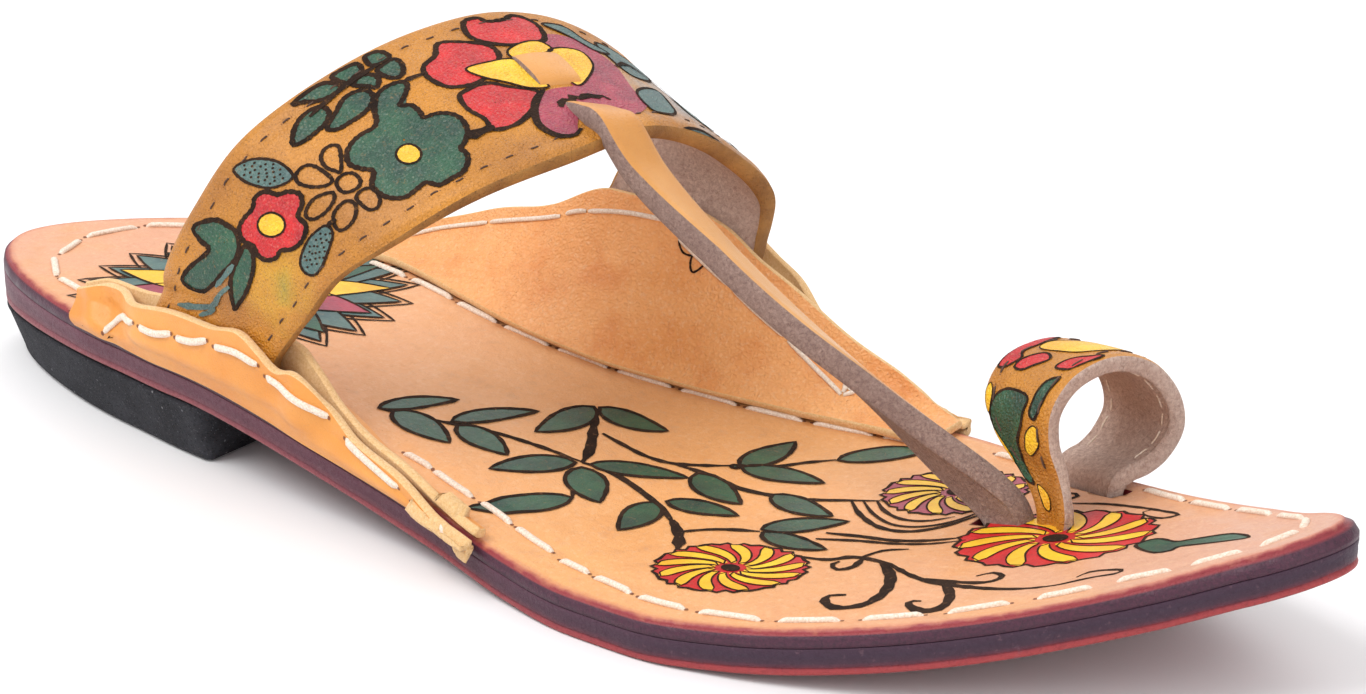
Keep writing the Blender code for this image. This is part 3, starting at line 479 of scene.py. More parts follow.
class Graph:
    """A material's node tree, built with one small call per node."""

    def __init__(self, name: str) -> None:
        """Starts an empty tree with an output.

        Args:
            name: the material's name.
        """
        self.material = bpy.data.materials.new(name)
        self.material.use_nodes = True
        self.tree = self.material.node_tree
        self.tree.nodes.clear()
        self.output = self.tree.nodes.new("ShaderNodeOutputMaterial")

    def node(self, kind: str, settings: dict | None = None, **inputs: object) -> bpy.types.Node:
        """Adds a node with its settings, values and links.

        Args:
            kind: node type.
            settings: attributes of the node.
            inputs: socket name with underscores for spaces, or "i0" for an index, to a value
                or an output socket.

        Returns:
            The node.
        """
        made = self.tree.nodes.new(kind)
        for key, value in (settings or {}).items():
            setattr(made, key, value)
        for key, value in inputs.items():
            at = int(key[1:]) if key[0] == "i" and key[1:].isdigit() else key.replace("_", " ")
            socket = made.inputs[at]
            if isinstance(value, Socket):
                self.tree.links.new(value, socket)
            else:
                socket.default_value = value
        return made

    def rest(self, scale: float = 1.0) -> Socket:
        """Place on the shoe in millimetres, scaled.

        Args:
            scale: pattern repeats per millimetre.

        Returns:
            A vector socket.
        """
        place = self.node("ShaderNodeAttribute", {"attribute_name": "rest"})
        return self.node("ShaderNodeVectorMath", {"operation": "SCALE"}, i0=place.outputs["Vector"],
                         Scale=scale).outputs[0]

    def mark(self) -> Socket:
        """The number that the piece keeps for its finish."""
        return self.node("ShaderNodeAttribute", {"attribute_name": "mark"}).outputs["Fac"]

    def noise(self, scale: float, detail: float = 3.0, rough: float = 0.55,
              warp: float = 0.0) -> Socket:
        """Soft noise over the shoe."""
        return self.node("ShaderNodeTexNoise", Vector=self.rest(scale), Scale=1.0, Detail=detail,
                         Roughness=rough, Distortion=warp).outputs["Fac"]

    def cells(self, scale: float, edge: bool = False) -> Socket:
        """Distance in a cell pattern.

        Args:
            scale: cells per millimetre.
            edge: distance to the cell's border in place of its centre.

        Returns:
            A value socket.
        """
        kind = "DISTANCE_TO_EDGE" if edge else "F1"
        return self.node("ShaderNodeTexVoronoi", {"feature": kind}, Vector=self.rest(scale),
                         Scale=1.0, Randomness=1.0).outputs["Distance"]

    def ramp(self, value: Socket, stops: Sequence[tuple[float, str]]) -> Socket:
        """Colours along a value.

        Args:
            value: 0..1.
            stops: places and web colours.

        Returns:
            A colour socket.
        """
        made = self.node("ShaderNodeValToRGB", Fac=value)
        band = made.color_ramp
        while len(band.elements) < len(stops):
            band.elements.new(0.5)
        for element, (at, code) in zip(band.elements, sorted(stops)):
            element.position = at
            element.color = linear(code)
        return made.outputs["Color"]

    def range(self, value: Socket, a: float, b: float, c: float = 0.0,
              d: float = 1.0) -> Socket:
        """Maps a value from a..b to c..d, clipped."""
        return self.node("ShaderNodeMapRange", Value=value, From_Min=a, From_Max=b, To_Min=c,
                         To_Max=d).outputs[0]

    def math(self, how: str, a: object, b: object = 0.0) -> Socket:
        """One sum."""
        return self.node("ShaderNodeMath", {"operation": how}, i0=a, i1=b).outputs[0]

    def mix(self, share: object, a: object, b: object) -> Socket:
        """Mixes two colours."""
        a, b = (linear(c) if isinstance(c, str) else c for c in (a, b))
        return self.node("ShaderNodeMix", {"data_type": "RGBA"}, i0=share, i6=a, i7=b).outputs[2]

    def relief(self, *layers: tuple[Socket, float]) -> Socket:
        """Stacked bumps.

        Args:
            layers: height socket and its depth in millimetres.

        Returns:
            A normal socket.
        """
        normal = None
        for height, depth in layers:
            inputs = {"Height": height, "Distance": depth * MM, "Strength": 1.0}
            if normal is not None:
                inputs["Normal"] = normal
            normal = self.node("ShaderNodeBump", **inputs).outputs[0]
        return normal

    def finish(self, colour: object, rough: object, normal: object = None,
               **more: object) -> Material:
        """Joins everything in one shader.

        Args:
            colour: base colour socket or web code.
            rough: roughness.
            normal: normal socket.
            more: other shader inputs.

        Returns:
            The material.
        """
        inputs = {"Base_Color": linear(colour) if isinstance(colour, str) else colour,
                  "Roughness": rough, **more}
        if normal is not None:
            inputs["Normal"] = normal
        shader = self.node("ShaderNodeBsdfPrincipled", **inputs)
        self.tree.links.new(shader.outputs[0], self.output.inputs[0])
        return self.material


@dataclass(frozen=True)
class SmoothLeather:
    """Vegetable-tanned leather, smooth side out: pores of 0.3 mm, cloudy dye, soft gloss.

    Its wrinkles are 0.8 mm wide, coarser than the real ones, so that they show.
    Where they are on, their creases are darkened with painted shade and pale specks of painted
    sheen lie over the leather.
    """

    name: str
    light: str
    dark: str
    cloud: float = 0.035
    pore: float = 3.2
    depth: float = 0.10
    rough: tuple[float, float] = (0.42, 0.60)
    coat: float = 0.08
    wrinkle: float = 0.0

    def build(self) -> Material:
        """Makes the material.

        Returns:
            The material.
        """
        g = Graph(self.name)
        cloud = g.noise(self.cloud, 4.0, 0.6)
        fleck = g.noise(self.cloud * 9, 5.0, 0.7)
        body = g.mix(g.range(cloud, 0.35, 0.68), self.light, self.dark)
        body = g.mix(g.range(fleck, 0.55, 0.85, 0.0, 0.30), body, self.dark)
        pores = g.cells(self.pore)
        body = g.mix(g.range(pores, 0.0, 0.25, 0.16, 0.0), body, "#6d3c20")
        creased = g.cells(1.25, edge=True)
        if self.wrinkle:
            # Painted shade: the wrinkles' creases darkened.
            body = g.mix(g.range(creased, 0.0, 0.16, 0.30, 0.0), body, self.dark)
            # Painted sheen: pale specks over the leather.
            body = g.mix(g.range(g.noise(1.4, 4.0, 0.7), 0.52, 0.72, 0.0, 0.36), body, "#fbd9b2")
            body = g.mix(g.range(g.noise(0.11, 4.0, 0.65), 0.50, 0.72, 0.0, 0.45), body, "#d9782e")
        normal = g.relief((g.noise(0.5, 4.0), self.depth), (g.noise(self.pore, 3.0), self.depth),
                          (g.range(pores, 0.0, 0.3), self.depth * 0.6),
                          (g.range(creased, 0.0, 0.35), self.wrinkle))
        return g.finish(body, g.range(fleck, 0.3, 0.7, *self.rough), normal,
                        Coat_Weight=self.coat, Coat_Roughness=0.35, Specular_IOR_Level=0.4)


@dataclass(frozen=True)
class GrainLeather:
    """Leather embossed with a pebbled grain, antiqued in the valleys, waxed to a low gloss.

    Its pebbles are 0.7 mm wide, coarser than the real ones, so that they show.
    """

    name: str
    light: str
    dark: str
    valley: str
    cell: float = 1.5
    depth: float = 0.13
    stains: tuple[tuple[float, float, float, float, str], ...] = ()
    rough: tuple[float, float] = (0.33, 0.55)
    coat: float = 0.22

    def build(self) -> Material:
        """Makes the material.

        Returns:
            The material.
        """
        g = Graph(self.name)
        cloud = g.noise(0.045, 4.0, 0.6)
        body = g.mix(g.range(cloud, 0.38, 0.66), self.light, self.dark)
        body = g.mix(g.range(g.noise(0.7, 5.0, 0.7), 0.52, 0.78, 0.0, 0.40), body, self.dark)
        for x, y, z, reach, code in self.stains:
            spot = g.node("ShaderNodeVectorMath", {"operation": "DISTANCE"}, i0=g.rest(),
                          i1=(x, y, z)).outputs["Value"]
            torn = g.math("ADD", spot, g.range(g.noise(0.22, 4.0), 0.0, 1.0, -reach, reach))
            body = g.mix(g.range(torn, reach * 0.2, reach * 1.3, 0.62, 0.0), body, code)
        pebble = g.cells(self.cell, edge=True)
        fine = g.cells(self.cell * 2.3, edge=True)
        pore = g.cells(self.cell * 0.9)
        body = g.mix(g.range(pore, 0.10, 0.24, 0.42, 0.0), body, self.valley)
        normal = g.relief((g.noise(0.35, 3.0), 0.35), (g.range(pebble, 0.0, 0.30), self.depth),
                          (g.range(fine, 0.0, 0.4), self.depth * 0.35))
        return g.finish(body, g.range(g.noise(0.3, 4.0), 0.3, 0.7, *self.rough), normal,
                        Coat_Weight=self.coat, Coat_Roughness=0.30, Specular_IOR_Level=0.45)


@dataclass(frozen=True)
class Flesh:
    """Suede side or cut edge: matt tufts of about 0.5 mm, drawn coarse so that the nap shows."""

    name: str
    light: str
    dark: str
    scale: float = 2.2
    depth: float = 0.30
    sheen: float = 0.15

    def build(self) -> Material:
        """Makes the material.

        Returns:
            The material.
        """
        g = Graph(self.name)
        fibre = g.noise(self.scale, 6.0, 0.75, 0.6)
        cloud = g.noise(0.08, 4.0, 0.6)
        body = g.mix(g.range(fibre, 0.32, 0.68), self.dark, self.light)
        body = g.mix(g.range(cloud, 0.4, 0.75, 0.0, 0.45), body, self.dark)
        normal = g.relief((fibre, self.depth), (g.noise(self.scale * 3, 3.0), self.depth * 0.4))
        return g.finish(body, 0.9, normal, Sheen_Weight=self.sheen, Specular_IOR_Level=0.2)


@dataclass(frozen=True)
class FootbedLeather:
    """Tan footbed leather, pinker at the heel and toe, its rim dyed red and its side purple.
    Its heel and middle are painted lighter: painted light against the shade of the band and wings.

    Pores of 0.4 mm and pale and brown flecks of wear give it a dry, used look.
    """

    name: str = "insole_leather"

    def build(self) -> Material:
        """Makes the material. The mark is the distance from the rim in millimetres.

        Returns:
            The material.
        """
        g = Graph(self.name)
        place = g.node("ShaderNodeSeparateXYZ", Vector=g.rest())
        cloud = g.noise(0.03, 4.0, 0.6)
        # Colour along the shoe: the leather's tone, pinker at heel and toe and more orange in the
        # middle, plus painted light that lifts the heel and middle against the shade of band and
        # wings.
        body = g.ramp(g.range(place.outputs[0], 0.0, 258.0),
                      [(0.0, "#dba083"), (0.22, "#dfa37c"), (0.42, "#e8a972"), (0.60, "#e6a566"),
                       (0.78, "#dda076"), (1.0, "#cf9f8a")])
        body = g.mix(g.range(cloud, 0.42, 0.70, 0.0, 0.45), body, "#e9b582")
        body = g.mix(g.range(g.noise(0.06, 4.0, 0.6), 0.50, 0.74, 0.0, 0.50), body, "#d98f48")
        body = g.mix(g.range(g.noise(1.0, 5.0, 0.75), 0.50, 0.72, 0.0, 0.42), body, "#f2cba2")
        body = g.mix(g.range(g.noise(0.8, 5.0, 0.75), 0.52, 0.76, 0.0, 0.26), body, "#bd7a52")
        body = g.mix(g.range(g.noise(0.25, 5.0, 0.7), 0.55, 0.8, 0.0, 0.35), body, "#b06e48")
        wobble = g.math("ADD", g.mark(), g.range(g.noise(0.35, 4.0), 0.0, 1.0, -0.7, 0.5))
        body = g.mix(g.range(wobble, 0.5, 1.5, 0.60, 0.0), body, "#c4725a")
        body = g.mix(g.range(wobble, 0.0, 0.6, 0.95, 0.0), body, "#8e2a36")
        fibre = g.range(g.noise(1.6, 6.0, 0.75, 0.5), 0.4, 0.7)
        body = g.mix(g.range(g.mark(), -0.9, -0.2, 1.0, 0.0), body,
                     g.mix(fibre, "#4e2438", "#301628"))
        pores = g.cells(2.6)
        body = g.mix(g.range(pores, 0.0, 0.22, 0.20, 0.0), body, "#7d4a2c")
        normal = g.relief((g.noise(0.4, 4.0), 0.30), (g.noise(2.6, 3.0), 0.10),
                          (g.range(pores, 0.0, 0.3), 0.06))
        rough = g.range(g.noise(0.2, 4.0), 0.3, 0.7, 0.40, 0.58)
        return g.finish(body, rough, normal, Coat_Weight=0.10, Coat_Roughness=0.35,
                        Specular_IOR_Level=0.4)


@dataclass(frozen=True)
class SoleEdge:
    """Dyed edge of the outsole: maroon behind, dark purple in front with a red band below."""

    name: str = "outsole_leather"

    def build(self) -> Material:
        """Makes the material. The mark is the share of the way down the edge.

        Returns:
            The material.
        """
        g = Graph(self.name)
        down = g.math("ADD", g.mark(), g.range(g.noise(0.5, 4.0), 0.0, 1.0, -0.07, 0.07))
        place = g.node("ShaderNodeSeparateXYZ", Vector=g.rest())
        body = g.ramp(down, [(0.0, "#3c1a34"), (0.30, "#331730"), (0.52, "#3c1a30"),
                             (0.66, "#5c2234"), (0.76, "#982e34"), (0.90, "#aa3a3a"),
                             (1.0, "#7c2a30")])
        fibre = g.noise(1.6, 6.0, 0.75, 0.5)
        faded = g.ramp(down, [(0.0, "#6d3446"), (0.45, "#5e2c3c"), (0.75, "#743a46"),
                              (0.90, "#8e4a50"), (1.0, "#6d343c")])
        body = g.mix(g.range(place.outputs[0], 95.0, 185.0, 0.85, 0.0), body, faded)
        body = g.mix(g.range(fibre, 0.5, 0.8, 0.0, 0.55), body, "#2c1620")
        body = g.mix(g.range(g.noise(0.9, 4.0, 0.6), 0.62, 0.75, 0.0, 0.45), body, "#7a5560")
        normal = g.relief((fibre, 0.22), (g.noise(0.5, 3.0), 0.3))
        return g.finish(body, g.range(fibre, 0.3, 0.7, 0.42, 0.75), normal, Coat_Weight=0.12,
                        Coat_Roughness=0.3)


@dataclass(frozen=True)
class Rubber:
    """Moulded crumb rubber, rough and matt: near black, crumbs of 0.6 mm, some of them pale."""

    name: str = "heel_rubber"

    def build(self) -> Material:
        """Makes the material.

        Returns:
            The material.
        """
        g = Graph(self.name)
        crumb = g.cells(1.7)
        body = g.mix(g.range(g.noise(0.12, 4.0), 0.35, 0.7), "#26262b", "#3a3a40")
        body = g.mix(g.range(crumb, 0.0, 0.22, 0.75, 0.0), body, "#82828a")
        body = g.mix(g.range(g.cells(0.31), 0.0, 0.09, 0.9, 0.0), body, "#b4b4b8")
        body = g.mix(g.range(g.noise(1.5, 5.0, 0.75), 0.52, 0.70, 0.0, 0.7), body, "#141418")
        pits = g.cells(1.6)
        normal = g.relief((g.noise(0.9, 5.0, 0.75), 0.75), (g.range(pits, 0.0, 0.35), 0.40))
        return g.finish(body, 0.82, normal, Specular_IOR_Level=0.3)


@dataclass(frozen=True)
class Thread:
    """Waxed cotton thread, matt, twisted every 0.3 mm."""

    name: str
    colour: str
    shade: str

    def build(self) -> Material:
        """Makes the material. The mark is the length run along the thread.

        Returns:
            The material.
        """
        g = Graph(self.name)
        twist = g.noise(3.0, 3.0, 0.6)
        body = g.mix(g.range(twist, 0.3, 0.7), self.shade, self.colour)
        return g.finish(body, 0.7, g.relief((twist, 0.12)), Sheen_Weight=0.1)


# Spots of the band: x, y, z and reach in millimetres, and colour.
STAINS = ((94.5, -36.0, 38.5, 7.5, "#dba41a"), (95.5, -36.2, 37.5, 2.6, "#8f8c34"),
          (120.6, 27.0, 58.0, 12.0, "#b3aaa2"), (121.5, 33.0, 52.0, 12.0, "#8f979c"))


class Palette:
    """Every finish of the shoe, made once."""

    def __init__(self) -> None:
        """Builds the materials."""
        self.insole = FootbedLeather().build()
        self.sole_edge = SoleEdge().build()
        self.rubber = Rubber().build()
        self.wing = SmoothLeather("wing_leather", "#eba352", "#dd8c3a", rough=(0.34, 0.52),
                                  coat=0.18).build()
        # The far wing: wrinkles on, so its creases get painted shade and pale specks of painted
        # sheen.
        self.far_wing = SmoothLeather("far_wing_leather", "#fbb776", "#ec9d56", 0.05, 2.4, 0.12,
                                      (0.36, 0.54), 0.16, 0.13).build()
        self.wing_cut = Flesh("wing_cut_edge", "#fbd8a8", "#d9a868", 2.6, 0.14).build()
        self.band = GrainLeather("strap_leather", "#cd8622", "#a96c28", "#573214",
                                 stains=STAINS).build()
        self.strap_smooth = SmoothLeather("thong_leather", "#dfa055", "#cd8a44", coat=0.2,
                                          rough=(0.34, 0.5)).build()
        self.band_cut = SmoothLeather("band_edge", "#c08a48", "#8f6234", 0.12, depth=0.3,
                                      rough=(0.6, 0.8), coat=0.0).build()
        self.suede = Flesh("suede", "#f2dacb", "#b48f80", 1.6, 0.45).build()
        self.thong_flesh = Flesh("thong_flesh", "#c2a496", "#7c605a", 1.8, 0.45).build()
        self.thread = Thread("white_thread", "#f8ecdf", "#d9bfa6").build()
        self.brown_thread = Thread("brown_thread", "#5a3a26", "#382014").build()
        # Dark brown discs at the stitch ends: painted shade of the stitch holes.
        self.dark = Thread("pinhole_shade", "#94562e", "#6e3c20").build()


# ---- pieces of the sole --------------------------------------------------------------------
def outline(stations: int) -> tuple[Array, Array]:
    """The sole's outline as two rows of plan points, heel to toe.

    Args:
        stations: points in a row.

    Returns:
        Lateral and medial rows, (n, 2) each.
    """
    x = LAST.length * (0.5 - 0.5 * np.cos(np.linspace(0.0, np.pi, stations)))
    lateral, medial = LAST.edge(x)
    return np.stack([x, lateral], axis=1), np.stack([x, medial], axis=1)


def ring_of(lateral: Array, medial: Array) -> Array:
    """Joins the two rows in one closed ring."""
    return np.concatenate([lateral, medial[-2:0:-1]])


def grown(ring: Array, by: Array | float) -> Array:
    """A plan ring moved outwards.

    Args:
        ring: (k, 2) closed ring.
        by: distance, one or per point.

    Returns:
        (k, 2) moved ring.
    """
    along = np.roll(ring, -1, axis=0) - np.roll(ring, 1, axis=0)
    outward = unit(np.stack([along[:, 1], -along[:, 0]], axis=1))
    return ring + np.reshape(by, (-1, 1)) * outward


# How much the columns of a cap crowd towards its rims: the angle of the sine that spaces them.
CROWDING = 1.35


def capped_stack(pile: Pile, levels: Sequence[tuple[Array, Array, float]], rows: int,
                 relief: Callable[[Array], Array] | None = None, cols: int = 3,
                 side_slot: int = 0, top_slot: int = 0) -> None:
    """Rings from top to bottom with ruled caps.

    Args:
        pile: where the faces go.
        levels: plan ring, heights and mark of each level.
        rows: stations in a row of the outline.
        relief: height to add to the top cap from its plan points.
        cols: points across a cap.
        side_slot: material index of the sides.
        top_slot: material index of the top cap.
    """
    count = len(levels[0][0])
    nxt = np.r_[np.arange(1, count), 0]
    first = pile.count
    for ring, height, mark in levels:
        pile.add(np.column_stack([ring, height]), np.zeros((0, 4), dtype=int), 0, mark)
    for level in range(len(levels) - 1):
        a = first + level * count + np.arange(count)
        b = first + level * count + nxt
        pile.face(np.stack([a, a + count, b + count, b], axis=1), side_slot)
    share = np.sin(np.linspace(-1, 1, cols) * CROWDING) / np.sin(CROWDING) * 0.5 + 0.5
    for (ring, height, mark), slot, turned in ((levels[0], top_slot, False),
                                               (levels[-1], side_slot, True)):
        edge = np.column_stack([ring, height])
        lateral = edge[:rows]
        medial = np.concatenate([edge[:1], edge[rows:][::-1], edge[rows - 1:rows]])
        cap = lateral[:, None] * (1 - share[None, :, None]) + medial[:, None] * share[None, :, None]
        value = np.full(cap.shape[:2], mark)
        if not turned and relief is not None:
            flat = cap.reshape(-1, 3)
            gap = rim_distance(flat[:, :2])
            value = gap
            flat[:, 2] += relief(np.column_stack([flat[:, :2], gap]))
        quads = grid_quads(*cap.shape[:2])
        pile.add(cap, quads if turned else quads[:, ::-1], slot, value)


RING = ring_of(*outline(400))
BATCH = 2000


def rim_distance(plan: Array) -> Array:
    """Distance of plan points from the sole's outline.

    Args:
        plan: (k, 2) points.

    Returns:
        (k,) distances.
    """
    out = np.empty(len(plan))
    step = np.roll(RING, -1, axis=0) - RING
    size = np.maximum((step ** 2).sum(1), 1e-9)
    for start in range(0, len(plan), BATCH):
        part = plan[start:start + BATCH]
        near = ((part[:, None] - RING[None]) ** 2).sum(-1).argmin(1)
        best = np.full(len(part), np.inf)
        for at in (near, near - 1):
            away = part - RING[at]
            share = np.clip((away * step[at]).sum(1) / size[at], 0.0, 1.0)
            best = np.minimum(best, np.linalg.norm(away - step[at] * share[:, None], axis=1))
        out[start:start + BATCH] = best
    return out


@dataclass
class Footbed:
    """The insole, with the stitched rim's soft trough and the marks of a foot."""

    palette: Palette
    stations: int = 420
    cols: int = 96
    round: float = 0.7
    trough: float = 0.22
    hole: tuple[float, float, float, float] = (203.6, 9.4, 17.4, 6.0)
    slit: tuple[float, float, float, float] = (202.0, 26.8, 18.0, 4.2)

    def relief(self, at: Array) -> Array:
        """Height added to the flat footbed.

        Args:
            at: (k, 3) x, y and distance from the rim.

        Returns:
            (k,) heights.
        """
        x, y, gap = at.T
        seam = 4.9 + 3.2 * ease((x - 60) / 20) * (1 - ease((x - 168) / 26))
        groove = -self.trough * np.exp(-((gap - seam) / 1.5) ** 2)
        swell = 0.12 * np.exp(-((gap - seam - 3.0) / 2.0) ** 2)
        seat = -0.45 * np.exp(-((x - 36) / 22) ** 2 - (y / 17) ** 2)
        ball = -0.40 * np.exp(-((x - 176) / 24) ** 2 - ((y + 2) / 24) ** 2)
        wave = 0.10 * np.sin(x / 9.0 + y / 14.0) * np.exp(-((gap - 2.0) / 3.0) ** 2)
        return (groove + swell + seat + ball + wave) * ease((gap - self.round - 0.1) / 1.2)

    def height(self, x: Array, y: Array) -> Array:
        """Height of the footbed's face.

        Args:
            x: places along.
            y: places across.

        Returns:
            Heights, like x.
        """
        x, y = np.broadcast_arrays(np.asarray(x, dtype=float), np.asarray(y, dtype=float))
        plan = np.column_stack([x.ravel(), y.ravel()])
        added = self.relief(np.column_stack([plan, rim_distance(plan)]))
        return LAST.top(x) + added.reshape(x.shape)

    def place(self, x: Array, y: Array, lift: float) -> Array:
        """Points on the footbed."""
        x, y = np.broadcast_arrays(np.asarray(x, dtype=float), np.asarray(y, dtype=float))
        return np.stack([x, y, self.height(x, y) + lift], axis=-1)

    def build(self) -> Piece:
        """Makes the insole with its hole and slit.

        Returns:
            The piece.
        """
        lateral, medial = outline(self.stations)
        ring = ring_of(lateral, medial)
        x = ring[:, 0]
        top, low = LAST.top(x), LAST.top(x) - LAST.insole
        levels = []
        for turn in np.linspace(0.0, np.pi / 2, 5):
            inset, drop = self.round * (1 - np.sin(turn)), self.round * (1 - np.cos(turn))
            levels.append((grown(ring, -inset), top - drop, inset))
        ledge = LAST.overhang(x)
        levels.append((grown(ring, 0.10 + ledge * 0.55), top * 0.66 + low * 0.34, -0.9))
        levels.append((grown(ring, ledge), low * 0.8 + top * 0.2, -1.4))
        levels.append((grown(ring, ledge + 0.02), low - LAST.gap * 0.6, -1.9))
        levels.append((grown(ring, -0.4), low - LAST.gap * 0.8, -2.0))
        pile = Pile()
        capped_stack(pile, levels, self.stations, self.relief, self.cols)
        made = pile.make("insole_dressed", [self.palette.insole], weld=True)
        for name, (cx, cy, long, wide), turn in (("hole", self.hole, 0.0),
                                                 ("slit", self.slit, -20.0)):
            cutter = self.cutter(name, cx, cy, long, wide, math.radians(turn))
            cut = made.modifiers.new(name, "BOOLEAN")
            cut.operation, cut.solver, cut.object = "DIFFERENCE", "EXACT", cutter
        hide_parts("insole")
        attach(made, "root")
        return made

    def cutter(self, name: str, cx: float, cy: float, long: float, wide: float,
               turn: float) -> Piece:
        """A hidden box that opens the footbed.

        Args:
            name: its name.
            cx: middle along.
            cy: middle across.
            long: length.
            wide: width.
            turn: turn in plan.

        Returns:
            The hidden object.
        """
        corner = np.array([(-1, -1), (1, -1), (1, 1), (-1, 1)]) * (long / 2, wide / 2)
        plan = np.column_stack([cx + corner[:, 0] * math.cos(turn) - corner[:, 1] * math.sin(turn),
                                cy + corner[:, 0] * math.sin(turn) + corner[:, 1] * math.cos(turn)])
        z = float(LAST.top(cx))
        box = np.concatenate([np.column_stack([plan, np.full(4, z + d)]) for d in (-9.0, 9.0)])
        pile = Pile()
        pile.add(box, np.array([(3, 2, 1, 0), (4, 5, 6, 7), (0, 1, 5, 4), (1, 2, 6, 5),
                                (2, 3, 7, 6), (3, 0, 4, 7)]), 0, 1.0)
        made = pile.make(name + "_cutter", [self.palette.insole], weld=True, flat=True)
        made.hide_render = made.hide_viewport = True
        return made


@dataclass
class Outsole:
    """The outsole, with one fine groove round its edge."""

    palette: Palette
    stations: int = 240
    profile: Table = Table(("down", "inset"), (
        (0.0, 0.55), (0.01, 0.02), (0.05, -0.02), (0.12, -0.03), (0.30, 0.0), (0.45, -0.03),
        (0.60, 0.0), (0.68, 0.03), (0.715, 0.20), (0.75, 0.03), (0.85, -0.03), (0.93, 0.02),
        (0.98, 0.25), (1.0, 0.6)))

    def build(self) -> Piece:
        """Makes the outsole.

        Returns:
            The piece.
        """
        lateral, medial = outline(self.stations)
        ring = ring_of(lateral, medial)
        x = ring[:, 0]
        top, low = LAST.top(x) - LAST.insole - LAST.gap, LAST.sole_bottom(x)
        ledge = LAST.overhang(x)
        uneven = 0.10 * np.sin(x / 5.3) + 0.08 * np.sin(x / 2.1 + 1.0)
        levels = [(grown(ring, ledge - inset + (uneven * 0.6 if 0.2 < down < 0.8 else 0.0)),
                   top + (low - top) * down, down)
                  for down, inset in zip(self.profile["down"], self.profile["inset"])]
        pile = Pile()
        capped_stack(pile, levels, self.stations)
        made = pile.make("outsole_dressed", [self.palette.sole_edge], weld=True)
        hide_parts("outsole")
        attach(made, "root")
        return made


@dataclass
class HeelBlock:
    """The rubber heel: upright sides drawn in a little, straight breast with eased corners."""

    palette: Palette
    breast: float = 73.2
    corner: float = 4.5
    inset: float = 2.4
    stations: int = 60

    def ring(self, inset: float) -> Array:
        """Plan of the block.

        Args:
            inset: how far it is drawn in from the outsole's outline.

        Returns:
            (k, 2) ring.
        """
        reach = self.breast - self.corner
        x = reach * (1 - np.cos(np.linspace(0.0, np.pi / 2, self.stations)))
        turn = np.linspace(0.0, np.pi / 2, 9)[1:]
        corner_x = reach + self.corner * np.sin(turn)
        eased = np.r_[np.zeros(len(x)), self.corner * (1 - np.cos(turn))]
        x = np.r_[x, corner_x]
        lateral, medial = LAST.edge(x)
        middle = (lateral[-1] + medial[-1]) / 2
        ring = np.concatenate([np.column_stack([x, lateral + eased]), [[self.breast, middle]],
                               np.column_stack([x[:0:-1], (medial - eased)[:0:-1]])])
        drawn = grown(ring, LAST.overhang(ring[:, 0]) - inset)
        drawn[:, 0] = np.minimum(drawn[:, 0], self.breast)
        return drawn

    def build(self) -> Piece:
        """Makes the heel.

        Returns:
            The piece.
        """
        plan = self.ring(0.0)
        seat = LAST.sole_bottom(plan[:, 0]) - LAST.gap
        rows = len(plan) // 2 + 1
        levels = [(self.ring(0.3), seat, 0.0), (self.ring(0.02), seat - 0.3, 0.0)]
        for share in np.linspace(0.12, 0.86, 7):
            levels.append((self.ring(self.inset * share), seat * (1 - share) + 1.6 * share, 0.0))
        for turn in np.linspace(0.0, np.pi / 2, 5):
            levels.append((self.ring(self.inset + 1.7 * (1 - math.cos(turn))),
                           np.full(len(plan), 1.5 * (1 - math.sin(turn))), 0.0))
        pile = Pile()
        capped_stack(pile, levels, rows)
        made = pile.make("heel_block_dressed", [self.palette.rubber], weld=True)
        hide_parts("heel_block")
        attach(made, "root")
        return made


